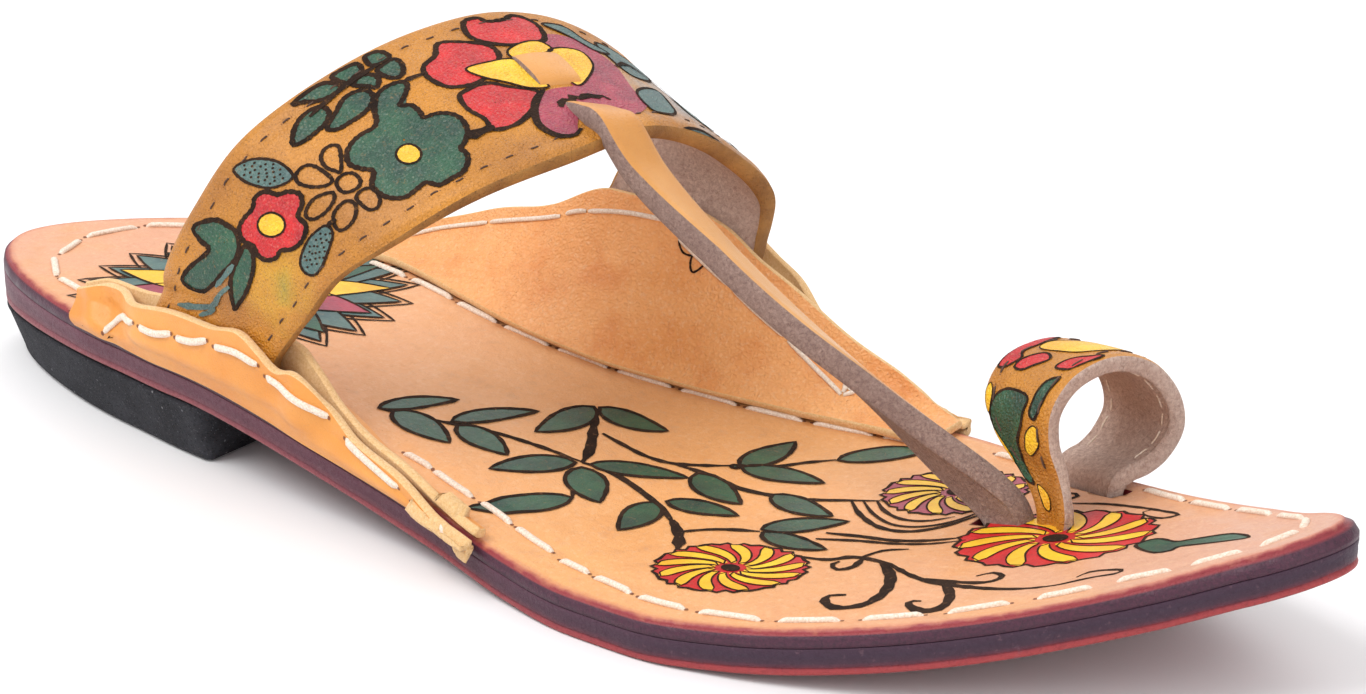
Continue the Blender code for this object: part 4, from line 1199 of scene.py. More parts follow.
# ---- wings ---------------------------------------------------------------------------------
@dataclass
class Wing:
    """A side wing: two layers of leather that hold an end of the instep band."""

    side: Side
    palette: Palette
    start: float
    end: float
    height: float
    lean: float
    pocket: tuple[float, float]
    rows: Table
    folds: Callable[[Array, Array], Array]
    thick: float = 1.5
    footing: float = 8.6
    drop: float = 0.9
    hem: float = 1.4
    spread: float = 3.6
    bulge: float = 1.2
    band: float = 3.0
    stations: int = 170
    cols: int = 34
    section: Table = Table(("up", "inside", "lean"), (
        (0.00, 1.00, 0.00), (0.06, 0.82, 0.00), (0.16, 0.62, 0.04), (0.32, 0.38, 0.16),
        (0.52, 0.18, 0.42), (0.76, 0.05, 0.72), (1.00, 0.00, 1.00)))

    @property
    def name(self) -> str:
        """The side's word."""
        return self.side.name.lower()

    def values(self, x: Array) -> dict[str, Array]:
        """The wing's sizes at x.

        Args:
            x: places along the shoe.

        Returns:
            Rim y and the tables' lengths.
        """
        run = np.clip((np.asarray(x, dtype=float) - self.start) / (self.end - self.start), 0, 1)
        read = {key: smooth_through(run, self.rows["run"], self.rows[key])
                for key in ("inner", "outer", "lean", "spread", "foot")}
        rim = LAST.edge(x)[0 if self.side is Side.LATERAL else 1]
        return {"rim": rim, "inner": read["inner"] * self.height,
                "outer": read["outer"] * self.height, "lean": read["lean"] * self.lean,
                "spread": read["spread"] * self.spread, "foot": read["foot"] * self.footing}

    def inner_offset(self, x: Array, height: Array) -> Array:
        """Outward offset of the inner layer's middle from the sole's edge.

        Args:
            x: places along.
            height: heights above the footbed.

        Returns:
            Offsets.
        """
        values = self.values(x)
        up = np.clip(height / np.maximum(values["inner"], 0.1), 0.0, 1.3)
        low = np.clip(up, 0, 1)
        inside = smooth_through(low, self.section["up"], self.section["inside"])
        share = smooth_through(low, self.section["up"], self.section["lean"])
        return -values["foot"] * inside + values["lean"] * (share + np.clip(up - 1, 0, None))

    def slant(self, x: Array, height: Array) -> Array:
        """How much longer a thickness is measured level across the slanting wing.

        Args:
            x: places along.
            height: heights above the footbed.

        Returns:
            Factors of one or more.
        """
        flare = (self.inner_offset(x, height + 0.8) - self.inner_offset(x, height - 0.8)) / 1.6
        bend = (self.values(x + 0.8)["rim"] - self.values(x - 0.8)["rim"]) / 1.6
        return np.sqrt(1.0 + np.minimum(flare ** 2, 0.5) + bend ** 2)

    def pocket_y(self, x: Array, height: Array) -> Array:
        """Where the band's outer face lies in the pocket.

        Args:
            x: places along.
            height: heights above the footbed.

        Returns:
            Places across.
        """
        depth = self.thick / 2 + 0.45 + self.band
        offset = self.inner_offset(x, height) + depth * self.slant(x, height)
        return self.values(x)["rim"] + self.side.value * offset

    def room(self, x: Array) -> Array:
        """Distance between the middles of the two layers.

        Args:
            x: places along.

        Returns:
            Distances.
        """
        rear, front = self.pocket
        outside = np.maximum(np.maximum(rear - 4 - x, x - front - 4), 0.0)
        near = ease(1.0 - outside / 9.0)
        return self.thick + 0.42 + (self.band + 0.66) * near + self.values(x)["spread"]

    def inner_sheet(self) -> Sheet:
        """The layer on the footbed's side.

        Returns:
            Its face towards the foot.
        """
        x = np.linspace(self.start, self.end, self.stations)
        values = self.values(x)
        up = np.linspace(0.0, 1.0, self.cols)
        inside = smooth_through(up, self.section["up"], self.section["inside"])
        share = smooth_through(up, self.section["up"], self.section["lean"])
        offset = (-values["foot"][:, None] * inside[None]
                  + values["lean"][:, None] * share[None])
        rest = LAST.gap + self.thick / 2
        height = rest + np.maximum(values["inner"] - rest, 0.6)[:, None] * up[None]
        height = height + 0.25 * np.sin(x / 3.1)[:, None] * ease(up * 2 - 1)[None]
        grid = np.stack([np.broadcast_to(x[:, None], offset.shape),
                         values["rim"][:, None] + self.side.value * offset,
                         LAST.top(x)[:, None] + height], axis=2)
        return Sheet(grid, self.thick, self.side.value).padded()

    def outer_sheet(self) -> Sheet:
        """The layer that hugs the sole's edge.

        Returns:
            Its outward face.
        """
        x = np.linspace(self.start, self.end, self.stations)
        values = self.values(x)
        up = np.linspace(0.0, 1.0, self.cols)
        top = np.maximum(values["outer"], self.hem - self.drop)
        height = -self.drop + (top + self.drop)[:, None] * up[None]
        height = height + 0.16 * np.sin(x / 6.3 + 1)[:, None] * (1 - up)[None] ** 3
        level = np.broadcast_to(x[:, None], height.shape)
        beside = (self.inner_offset(level, height)
                  + self.room(x)[:, None] * self.slant(level, height))
        hug = LAST.gap + self.thick / 2
        hugging = hug + self.bulge * np.sin(np.pi * np.clip(up * 1.4, 0, 1))[None]
        clear = np.clip(1.0 - (height - LAST.gap - self.thick / 2) / 3.0, 0, 1)
        offset = softened(np.maximum(beside, hugging * clear + beside * (1 - clear)), 6)
        grid = np.stack([level, values["rim"][:, None] + self.side.value * offset,
                         LAST.top(x)[:, None] + height], axis=2)
        return Sheet(grid, self.thick, -self.side.value).padded().press(self.folds)

    def build(self) -> tuple[Sheet, Sheet]:
        """Makes both layers.

        Returns:
            Inner and outer sheet, for stitches.
        """
        sheets = {"inner": self.inner_sheet(), "outer": self.outer_sheet()}
        for layer, sheet in sheets.items():
            pile = Pile()
            sheet.solid(pile, (0, 1, 1))
            made = pile.make(f"{self.name}_wing_{layer}_dressed",
                             [self.palette.wing if self.side is Side.LATERAL
                              else self.palette.far_wing, self.palette.wing_cut])
            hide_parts(f"{self.name}_wing_{layer}")
            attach(made, "root")
        return sheets["inner"], sheets["outer"]


WING_COLUMNS = ("run", "inner", "outer", "lean", "spread", "foot")


def lateral_folds(arc: Array, across: Array) -> Array:
    """Soft folds of the near wing's outer layer.

    Args:
        arc: millimetres from its rear end.
        across: millimetres up from its lower edge.

    Returns:
        Heights along the normal.
    """
    hollow = -0.8 * bump(arc - 0.45 * across, 55, 4.0) * bump(across, 9, 6)
    ridge = 0.9 * bump(arc - 0.35 * across, 63, 4.0) * bump(across, 8, 5)
    seam = -0.20 * bump(across, 9.5, 1.6) * bump(arc, 34, 26)
    heel = (0.9 * bump(arc + 0.5 * across, 8, 2.6) - 0.8 * bump(arc + 0.5 * across, 12, 2.6)
            - 0.4 * bump(arc, 18, 4))
    belly = 0.55 * bump(arc, 36, 16) * bump(across, 4, 3)
    return hollow + ridge + seam + heel * bump(across, 5, 4) + belly


def medial_folds(arc: Array, across: Array) -> Array:
    """Soft folds of the far wing's outer layer."""
    return (0.5 * bump(arc - 0.3 * across, 36, 4) - 0.5 * bump(arc - 0.3 * across, 44, 4)
            + 0.4 * bump(arc, 70, 8)) * bump(across, 12, 9)


def make_wings(palette: Palette) -> dict[Side, Wing]:
    """Both wings with their sizes.

    Args:
        palette: the finishes.

    Returns:
        The wings by side.
    """
    lateral = Wing(Side.LATERAL, palette, 40.0, 139.0, 12.2, -3.0, (64.0, 93.5), Table(
        WING_COLUMNS, (
            (0.00, 0.42, 0.40, 0.7, 0.00, 1.0), (0.08, 0.60, 0.60, 0.9, 0.00, 1.0),
            (0.20, 0.66, 0.67, 1.0, 0.00, 1.0), (0.30, 0.80, 0.79, 1.0, 0.00, 1.0),
            (0.41, 0.90, 0.87, 1.0, 0.00, 1.0), (0.475, 0.97, 1.00, 1.0, 0.00, 1.0),
            (0.525, 0.98, 0.88, 1.0, 0.00, 1.0), (0.560, 0.96, 0.74, 0.97, 0.00, 0.98),
            (0.600, 0.80, 0.85, 0.85, 0.10, 0.94), (0.665, 0.50, 0.62, 0.60, 0.25, 0.77),
            (0.735, 0.38, 0.36, 0.36, 0.20, 0.52), (0.830, 0.30, 0.28, 0.05, 0.05, 0.30),
            (0.920, 0.20, 0.10, -0.10, 0.15, 0.16), (1.00, 0.12, -0.08, -0.15, 0.10, 0.12))),
        lateral_folds)
    medial = Wing(Side.MEDIAL, palette, 60.0, 171.0, 25.0, 6.8, (103.5, 131.5), Table(
        WING_COLUMNS, (
            (0.00, 0.08, 0.06, -0.35, 0, 1), (0.09, 0.28, 0.26, 0.20, 0, 1),
            (0.18, 0.43, 0.41, 0.60, 0, 1), (0.315, 0.69, 0.66, 0.85, 0, 1),
            (0.42, 0.94, 0.88, 1.00, 0, 1), (0.52, 1.00, 0.95, 1.00, 0, 1),
            (0.60, 0.95, 0.89, 0.84, 0, 1), (0.67, 0.79, 0.72, 0.60, 0, 1),
            (0.78, 0.52, 0.45, 0.34, 0, 1), (0.88, 0.29, 0.24, 0.25, 0, 1),
            (0.95, 0.14, 0.09, 0.10, 0, 1), (1.00, 0.06, -0.05, 0, 0, 1))),
        medial_folds)
    return {Side.LATERAL: lateral, Side.MEDIAL: medial}


# ---- straps --------------------------------------------------------------------------------
@dataclass
class InstepBand:
    """The instep band, arched from pocket to pocket."""

    palette: Palette
    wings: dict[Side, Wing]
    span: float = 40.0
    rear_rise: float = 71.2
    front_rise: float = 59.7
    tuck: float = 5.0
    thick: float = 3.0
    stations: int = 260
    cols: int = 40
    rows: Table = Table(("rear_along", "rear_across", "rear_up", "front_along", "front_across",
                         "front_up"), (
        (0.267, -0.888, 0.510, 0.389, -0.925, 0.566), (0.287, -0.850, 0.643, 0.411, -0.900, 0.689),
        (0.310, -0.713, 0.797, 0.441, -0.800, 0.795), (0.341, -0.375, 0.930, 0.478, -0.550, 0.926),
        (0.360, 0.000, 0.986, 0.505, -0.200, 0.992), (0.382, 0.300, 1.000, 0.512, 0.150, 1.000),
        (0.399, 0.575, 0.951, 0.512, 0.450, 0.943), (0.417, 0.825, 0.839, 0.514, 0.750, 0.828),
        (0.421, 1.013, 0.671, 0.516, 1.000, 0.656)))

    def edges(self) -> tuple[Array, Array]:
        """Rear and front edges.

        Returns:
            Two rows of points.
        """
        lateral, medial = self.wings[Side.LATERAL], self.wings[Side.MEDIAL]

        def pocket(wing: Wing, x: float, height: float) -> list[float]:
            """A place of the band's end between the wing's layers."""
            y = float(wing.pocket_y(np.array([x]), np.array([height]))[0])
            return [x, y, float(LAST.top(x)) + height]

        rows = []
        for at, (key, rise) in enumerate((("rear", self.rear_rise), ("front", self.front_rise))):
            arch = np.column_stack([self.rows[key + "_along"] * LAST.length,
                                    self.rows[key + "_across"] * self.span,
                                    self.rows[key + "_up"] * rise])
            near, far = lateral.pocket[at], medial.pocket[at]
            start = [pocket(lateral, near - 2, self.tuck),
                     pocket(lateral, near, lateral.height * 0.8)]
            end = [pocket(medial, far, medial.height * 0.85),
                   pocket(medial, far - 1, self.tuck + 4)]
            rows.append(path_through(np.concatenate([start, arch, end]), self.stations))
        return rows[0], rows[1]

    def sheet(self) -> Sheet:
        """The band's outer face: ruled from edge to edge and settled in its pockets.

        Returns:
            The sheet.
        """
        rear, front = self.edges()
        share = np.linspace(0.0, 1.0, self.cols)[None, :, None]
        grid = rear[:, None] * (1 - share) + front[:, None] * share
        half = self.stations // 2
        for side, part in ((Side.LATERAL, grid[:half]), (Side.MEDIAL, grid[half:])):
            wing = self.wings[side]
            height = part[:, :, 2] - LAST.top(part[:, :, 0])
            level = wing.values(part[:, :, 0])["inner"]
            held = ease((level + 6.0 - height) / 6.0)
            part[:, :, 1] = part[:, :, 1] * (1 - held) + wing.pocket_y(part[:, :, 0], height) * held
        return Sheet.upward(grid, self.thick, self.stations // 2).press(self.relief)

    def relief(self, arc: Array, across: Array) -> Array:
        """Rolled edges, seam troughs and soft waves.

        Args:
            arc: millimetres from the lateral end.
            across: millimetres from the rear edge.

        Returns:
            Heights along the normal.
        """
        width = across[:, -1:]
        gap = np.minimum(across, width - across)
        roll = -0.45 * np.clip(1 - gap / 1.4, 0, 1) ** 2
        seam = -0.16 * np.exp(-((gap - 3.6) / 0.8) ** 2)
        wave = 0.18 * np.sin(arc / 11.0 + across / 9.0) + 0.10 * np.sin(arc / 4.6)
        return roll + seam + wave * np.clip(gap / 4, 0, 1)


@dataclass
class Thong:
    """The centre thong: woven through the band, then twisting down to the footbed."""

    palette: Palette
    band: InstepBand
    width: float = 9.2
    thick: float = 3.7
    tab_thick: float = 1.7
    crossing: float = 0.535
    slit: float = 0.77
    tab: tuple[float, float] = (13.2, 23.6)
    tab_width: float = 6.8
    tab_arc: float = 81.0
    foot: tuple[float, float] = (200.1, 9.4)
    sunk: float = 2.1
    stations: int = 300
    cols: int = 13
    rows: Table = Table(("run", "bow", "twist", "width"), (
        (0.00, 0.000, 17.0, 0.76), (0.10, -0.024, 19.0, 0.79), (0.30, -0.032, 22.0, 0.87),
        (0.50, -0.018, 28.0, 0.94), (0.68, 0.002, 38.0, 0.97), (0.82, 0.016, 56.0, 0.93),
        (0.93, 0.024, 76.0, 0.85), (0.97, 0.020, 86.0, 0.82), (1.00, 0.000, 90.0, 0.80)))

    def tab_sheet(self) -> Sheet:
        """The short length that shows where the thong is woven through the band.

        Returns:
            Its outer face, dipping under the band at both ends.
        """
        face = self.band.sheet()
        first, last = self.tab
        path = path_through(np.array([
            (first - 1.3, -1.9), (first - 0.2, -0.8), (first + 0.9, 0.45), (first + 2.6, 1.0),
            (last - 2.6, 1.0), (last - 0.9, 0.45), (last + 0.2, -0.8), (last + 1.2, -1.9)]), 50)
        aside = np.linspace(-1.0, 1.0, self.cols)
        arc = self.tab_arc + self.tab_width / 2 * aside[None] + 0.08 * (18.0 - path[:, :1])
        across = np.broadcast_to(path[:, :1], arc.shape)
        lift = path[:, 1:] - 0.22 * aside[None] ** 2
        low, high = face.place(arc, across, 0.0), face.place(arc, across, 1.0)
        grid = low + (high - low) * lift[..., None]
        return Sheet.upward(grid, self.tab_thick, 25, 6)

    def sheet(self) -> Sheet:
        """The thong's smooth face.

        Returns:
            The sheet.
        """
        rear, front = self.band.edges()
        at = self.crossing * (len(rear) - 1)
        low, blend = int(at), at - int(at)
        a = rear[low] * (1 - blend) + rear[low + 1] * blend
        b = front[low] * (1 - blend) + front[low + 1] * blend
        sideways = unit(rear[low + 3] - rear[low - 3])
        normal = unit(np.cross(unit(b - a), sideways))
        woven = ((self.slit - 0.10, -4.7), (self.slit - 0.04, -3.8), (self.slit + 0.02, -2.0),
                 (self.slit + 0.11, -0.4), (0.98, 0.6))
        points = [a * (1 - share) + b * share + normal * height for share, height in woven]
        start = points[-1]
        foot = np.array([*self.foot, float(LAST.top(self.foot[0])) - self.sunk])
        span = foot - start
        length = np.linalg.norm(span)
        along = span / length
        aside = unit(np.cross([0.0, 0.0, 1.0], along))
        lift = np.cross(along, aside)
        free = [start + span * run + lift * bow * length
                for run, bow in zip(self.rows["run"][1:], self.rows["bow"][1:])]
        path = path_through(np.array(points + free), self.stations)
        ahead = (path - start) @ along > 0
        run = np.where(ahead, np.clip(np.linalg.norm(path - start, axis=1) / length, 0, 1), 0.0)
        twist = np.radians(smooth_through(run, self.rows["run"], self.rows["twist"]))
        share = smooth_through(run, self.rows["run"], self.rows["width"])
        tangent = unit(np.gradient(path, axis=0))
        settle = np.clip(run / 0.3, 0, 1)[:, None]
        flat = unit(sideways[None] * (1 - settle) + aside[None] * settle)
        flat = unit(flat - tangent * np.sum(flat * tangent, axis=1, keepdims=True))
        upright = np.cross(tangent, flat)
        wide = flat * np.cos(twist)[:, None] - upright * np.sin(twist)[:, None]
        across = np.linspace(-1.0, 1.0, self.cols)
        half = self.width / 2 * share[:, None] * across
        grid = path[:, None] + wide[:, None] * half[:, :, None]
        return Sheet.upward(grid, self.thick, self.stations // 3).padded().press(self.relief)

    def relief(self, arc: Array, across: Array) -> Array:
        """Rolled edges and a soft wave."""
        gap = np.minimum(across, across[:, -1:] - across)
        return -0.30 * np.clip(1 - gap / 1.2, 0, 1) ** 2 + 0.12 * np.sin(arc / 5.0)


class Upper:
    """Instep band and thong, joined where they cross."""

    def __init__(self, palette: Palette, wings: dict[Side, Wing]) -> None:
        """Works out both straps.

        Args:
            palette: the finishes.
            wings: the wings that hold the band.
        """
        self.palette = palette
        self.band = InstepBand(palette, wings)
        self.band_sheet = self.band.sheet()
        thong = Thong(palette, self.band)
        self.thong_sheet, self.tab_sheet = thong.sheet(), thong.tab_sheet()

    def build(self) -> Piece:
        """Makes the straps as one piece.

        Returns:
            The piece.
        """
        pile = Pile()
        self.band_sheet.solid(pile, (0, 1, 2), 0.35)
        self.thong_sheet.solid(pile, (3, 4, 4), 0.30)
        self.tab_sheet.solid(pile, (3, 4, 4), 0.30)
        made = pile.make("upper_straps_dressed", [
            self.palette.band, self.palette.suede, self.palette.band_cut,
            self.palette.strap_smooth, self.palette.thong_flesh])
        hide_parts("upper_straps")
        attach(made, "root")
        return made


@dataclass
class ToeLoop:
    """The ring for the big toe, from the hole beside the thong over the toe to its slit."""

    palette: Palette
    thick: float = 2.6
    width: float = 17.5
    neck: float = 6.4
    span: float = 25.2
    rise: float = 21.2
    turn: float = 20.0
    landing: float = 2.6
    sunk: float = 2.1
    near: tuple[float, float] = (208.0, 9.4)
    far: tuple[float, float] = (202.0, 26.8)
    stations: int = 240
    cols: int = 26
    rows: Table = Table(("across", "up", "reach", "width"), (
        (0.000, 0.12, 0.90, 0.05), (0.025, 0.33, 0.60, 0.30), (0.020, 0.53, 0.28, 0.70),
        (0.060, 0.73, 0.08, 0.93), (0.195, 0.90, 0.00, 1.00), (0.400, 0.99, 0.00, 1.00),
        (0.620, 0.98, 0.00, 1.00), (0.830, 0.86, 0.00, 1.00), (0.970, 0.64, 0.00, 1.00),
        (1.000, 0.41, 0.00, 1.00), (0.900, 0.22, 0.00, 0.98), (0.780, 0.13, 0.00, 0.93)))

    def sheet(self) -> Sheet:
        """The loop's outer face.

        Returns:
            The sheet.
        """
        turn = math.radians(self.turn)
        climb = float(LAST.top(self.far[0] + 1) - LAST.top(self.far[0] - 1)) / 2
        along = unit(np.array([math.cos(turn), -math.sin(turn), climb * math.cos(turn)]))
        across = np.array([math.sin(turn), math.cos(turn), 0.0])
        near, far = np.array([*self.near, 0.0]), np.array([*self.far, 0.0])
        floor, far_floor = float(LAST.top(near[0])), float(LAST.top(far[0]))
        centre = far + across * ((near - far) @ across)
        up = np.array([0.0, 0.0, 1.0])
        points, widths = [near + up * (floor - self.sunk)], [0.0]
        for share, high, reach, wide in self.rows.rows:
            fade = min(max(reach / 0.9, 0.0), 1.0)
            ground = floor * (1 - share) + far_floor * share
            points.append(near * fade + centre * (1 - fade) + across * share * self.span
                          + up * (ground + high * self.rise))
            widths.append(wide)
        for out, high in ((1.0, 0.92), (0.25, 0.45), (0.0, -0.81)):
            points.append(far + across * self.landing * out
                          + up * (far_floor + self.landing * high))
            widths.append(0.88)
        points = np.array(points)
        path = path_through(points, self.stations)
        chord = np.r_[0.0, np.cumsum(np.linalg.norm(np.diff(points, axis=0), axis=1))]
        run = np.r_[0.0, np.cumsum(np.linalg.norm(np.diff(path, axis=0), axis=1))]
        share = np.interp(run / run[-1], chord / chord[-1], widths)
        share = np.convolve(np.pad(share, 8, mode="edge"), np.ones(17) / 17, mode="valid")
        half = (self.neck + (self.width - self.neck) * share) / 2
        steps = np.linspace(-1.0, 1.0, self.cols)
        grid = path[:, None] + along[None, None] * (half[:, None] * steps[None])[:, :, None]
        return Sheet.upward(grid, self.thick, self.stations // 2).padded().press(self.relief)

    def relief(self, arc: Array, across: Array) -> Array:
        """A fold at the near foot, seam troughs, rolled edges and a soft wave.

        Args:
            arc: millimetres from the near foot.
            across: millimetres from the rear edge.

        Returns:
            Heights along the normal.
        """
        gap = np.minimum(across, across[:, -1:] - across)
        fold = -0.9 * np.exp(-((across - across[:, -1:] / 2) / 1.6) ** 2) * ease(1 - arc / 16)
        seam = -0.12 * np.exp(-((gap - 2.4) / 0.7) ** 2)
        return (fold + seam - 0.35 * np.clip(1 - gap / 1.2, 0, 1) ** 2
                + 0.12 * np.sin(arc / 3.7 + across / 4))

    def build(self) -> Sheet:
        """Makes the loop.

        Returns:
            Its sheet, for the paint.
        """
        sheet = self.sheet()
        pile = Pile()
        sheet.solid(pile, (0, 1, 1), 0.35)
        made = pile.make("toe_loop_dressed", [self.palette.band, self.palette.suede])
        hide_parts("toe_loop")
        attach(made, "root")
        return sheet


# ---- threads -------------------------------------------------------------------------------
Placer = Callable[[Array, Array, float], Array]


@dataclass(frozen=True)
class ThreadRun:
    """Stitches laid on a face: each a short thread whose ends dip into their holes."""

    name: str
    radius: float
    slot: str
    flat: float = 0.75
    dip: float = 0.55
    sides: int = 8
    steps: int = 16

    def build(self, place: Placer, stitches: Sequence[Sequence[float]],
              finish: Material, hole: Material | None = None) -> None:
        """Makes the stitches as one piece.

        Args:
            place: gives points of the face at a height.
            stitches: each the x, y of its points in turn, in the face's own millimetres.
            finish: the thread's finish.
            hole: finish of the dark discs of painted shade in the stitch holes, if they show.
        """
        pile = Pile()
        turn = np.linspace(0.0, 2 * np.pi, self.sides + 1)[:-1]
        for at, stitch in enumerate(stitches):
            stitch = np.array(stitch, dtype=float).reshape(-1, 2)
            flat = path_through(stitch, self.steps)
            if len(stitch) == 2:
                bow = 0.18 * math.sin(at * 2.4)
                side = unit(np.array([flat[-1, 1] - flat[0, 1], flat[0, 0] - flat[-1, 0]]))
                flat = flat + side * (bow * np.sin(np.linspace(0, np.pi, self.steps)))[:, None]
            run = np.r_[0.0, np.cumsum(np.linalg.norm(np.diff(flat, axis=0), axis=1))]
            end = np.minimum(run, run[-1] - run)
            sink = self.dip * np.clip(1 - end / (2.2 * self.radius), 0, 1) ** 2
            low, high = place(flat[:, 0], flat[:, 1], 0.0), place(flat[:, 0], flat[:, 1], 1.0)
            up = unit(high - low)
            along = unit(np.gradient(low, axis=0))
            side = unit(np.cross(up, along))
            centre = low + up * (self.radius * self.flat * 0.55 - sink)[:, None]
            thick = self.radius * (0.72 + 0.28 * np.clip(end / (1.6 * self.radius), 0, 1))
            ring = (side[:, None] * np.cos(turn)[None, :, None]
                    + up[:, None] * self.flat * np.sin(turn)[None, :, None]) * thick[:, None, None]
            tube = centre[:, None] + ring
            quads = grid_quads(self.steps, self.sides)
            seam = np.arange(self.steps - 1)[:, None] * self.sides
            wrap = np.concatenate([seam + self.sides - 1, seam, seam + self.sides,
                                   seam + 2 * self.sides - 1], axis=1)
            pile.add(tube, np.concatenate([quads, wrap])[:, ::-1], 0,
                     np.repeat(run, self.sides))
            if hole is not None:
                # A disc of painted shade at each end, for the stitch hole.
                for pick, way in ((0, 1), (-1, -2)):
                    spot = self.pinhole_shade(place, flat[pick], flat[way])
                    pile.add(spot, grid_quads(3, 9), 1)
        made = pile.make(self.name, [finish] + ([hole] if hole else []))
        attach(made, "root")

    def pinhole_shade(self, place: Placer, at: Array, way: Array) -> Array:
        """A small dark disc just past a stitch's end: painted shade of the stitch hole.

        Args:
            place: gives points of the face.
            at: the stitch's end.
            way: the stitch's next point.

        Returns:
            (27, 3) points of a disc.
        """
        back = unit(at - way)
        centre = at + back * 0.15
        turn = np.linspace(0.0, 2 * np.pi, 9)
        rings = []
        for share in (0.0, 0.6, 1.0):
            radius = self.radius * 0.55 * share
            rings.append(np.column_stack([centre[0] + radius * np.cos(turn),
                                          centre[1] + radius * np.sin(turn)]))
        flat = np.concatenate(rings)
        return place(flat[:, 0], flat[:, 1], 0.10)


# ---- paint ---------------------------------------------------------------------------------
class Paint(Enum):
    """Colours of the hand-painted flowers."""

    GREEN = ("#25583c", "#163c30")
    GREY = ("#55726c", "#3d5a5a")
    RED = ("#d6181c", "#ab1a22")
    YELLOW = ("#f8cc2a", "#eaa922")
    ROSE = ("#b03a50", "#8a3448")
    BURNT = ("#3a271c", "#20150f")


@dataclass(frozen=True)
class PaintFinish:
    """Thin paint over leather: it lets the grain show and wears on the high spots."""

    paint: Paint
    ground: str
    grain: float = 1.5
    pebbled: bool = False

    def build(self) -> Material:
        """Makes the material.

        Returns:
            The material.
        """
        g = Graph(f"paint_{self.paint.name.lower()}_{self.ground}")
        light, dark = self.paint.value
        cloud = g.noise(0.16, 5.0, 0.65)
        body = g.mix(g.range(cloud, 0.34, 0.66), light, dark)
        worn = g.noise(1.3, 5.0, 0.7)
        wear = 0.34 if self.paint is not Paint.BURNT else 0.25
        under = "#c98a45" if self.ground == "strap" else "#cf9468"
        body = g.mix(g.range(worn, 0.58, 0.74, 0.0, wear), body, under)
        if self.pebbled:
            pebble = g.cells(self.grain, edge=True)
            body = g.mix(g.range(g.cells(1.35), 0.10, 0.24, 0.30, 0.0), body, "#2b211c")
            if self.paint is not Paint.BURNT:
                body = g.mix(g.range(g.noise(1.9, 4.0, 0.7), 0.56, 0.74, 0.0, 0.20), body,
                             "#efd9b8")
            normal = g.relief((g.range(pebble, 0.0, 0.30), 0.12), (g.noise(2.2, 3.0), 0.06))
        else:
            pores = g.cells(2.6)
            body = g.mix(g.range(pores, 0.0, 0.22, 0.30, 0.0), body, "#3c2a20")
            normal = g.relief((g.noise(0.4, 4.0), 0.25), (g.range(pores, 0.0, 0.3), 0.07))
        if self.paint is Paint.BURNT:
            return g.finish(body, 0.8, normal, Specular_IOR_Level=0.15)
        return g.finish(body, g.range(worn, 0.3, 0.7, 0.38, 0.55), normal, Coat_Weight=0.12,
                        Coat_Roughness=0.3)


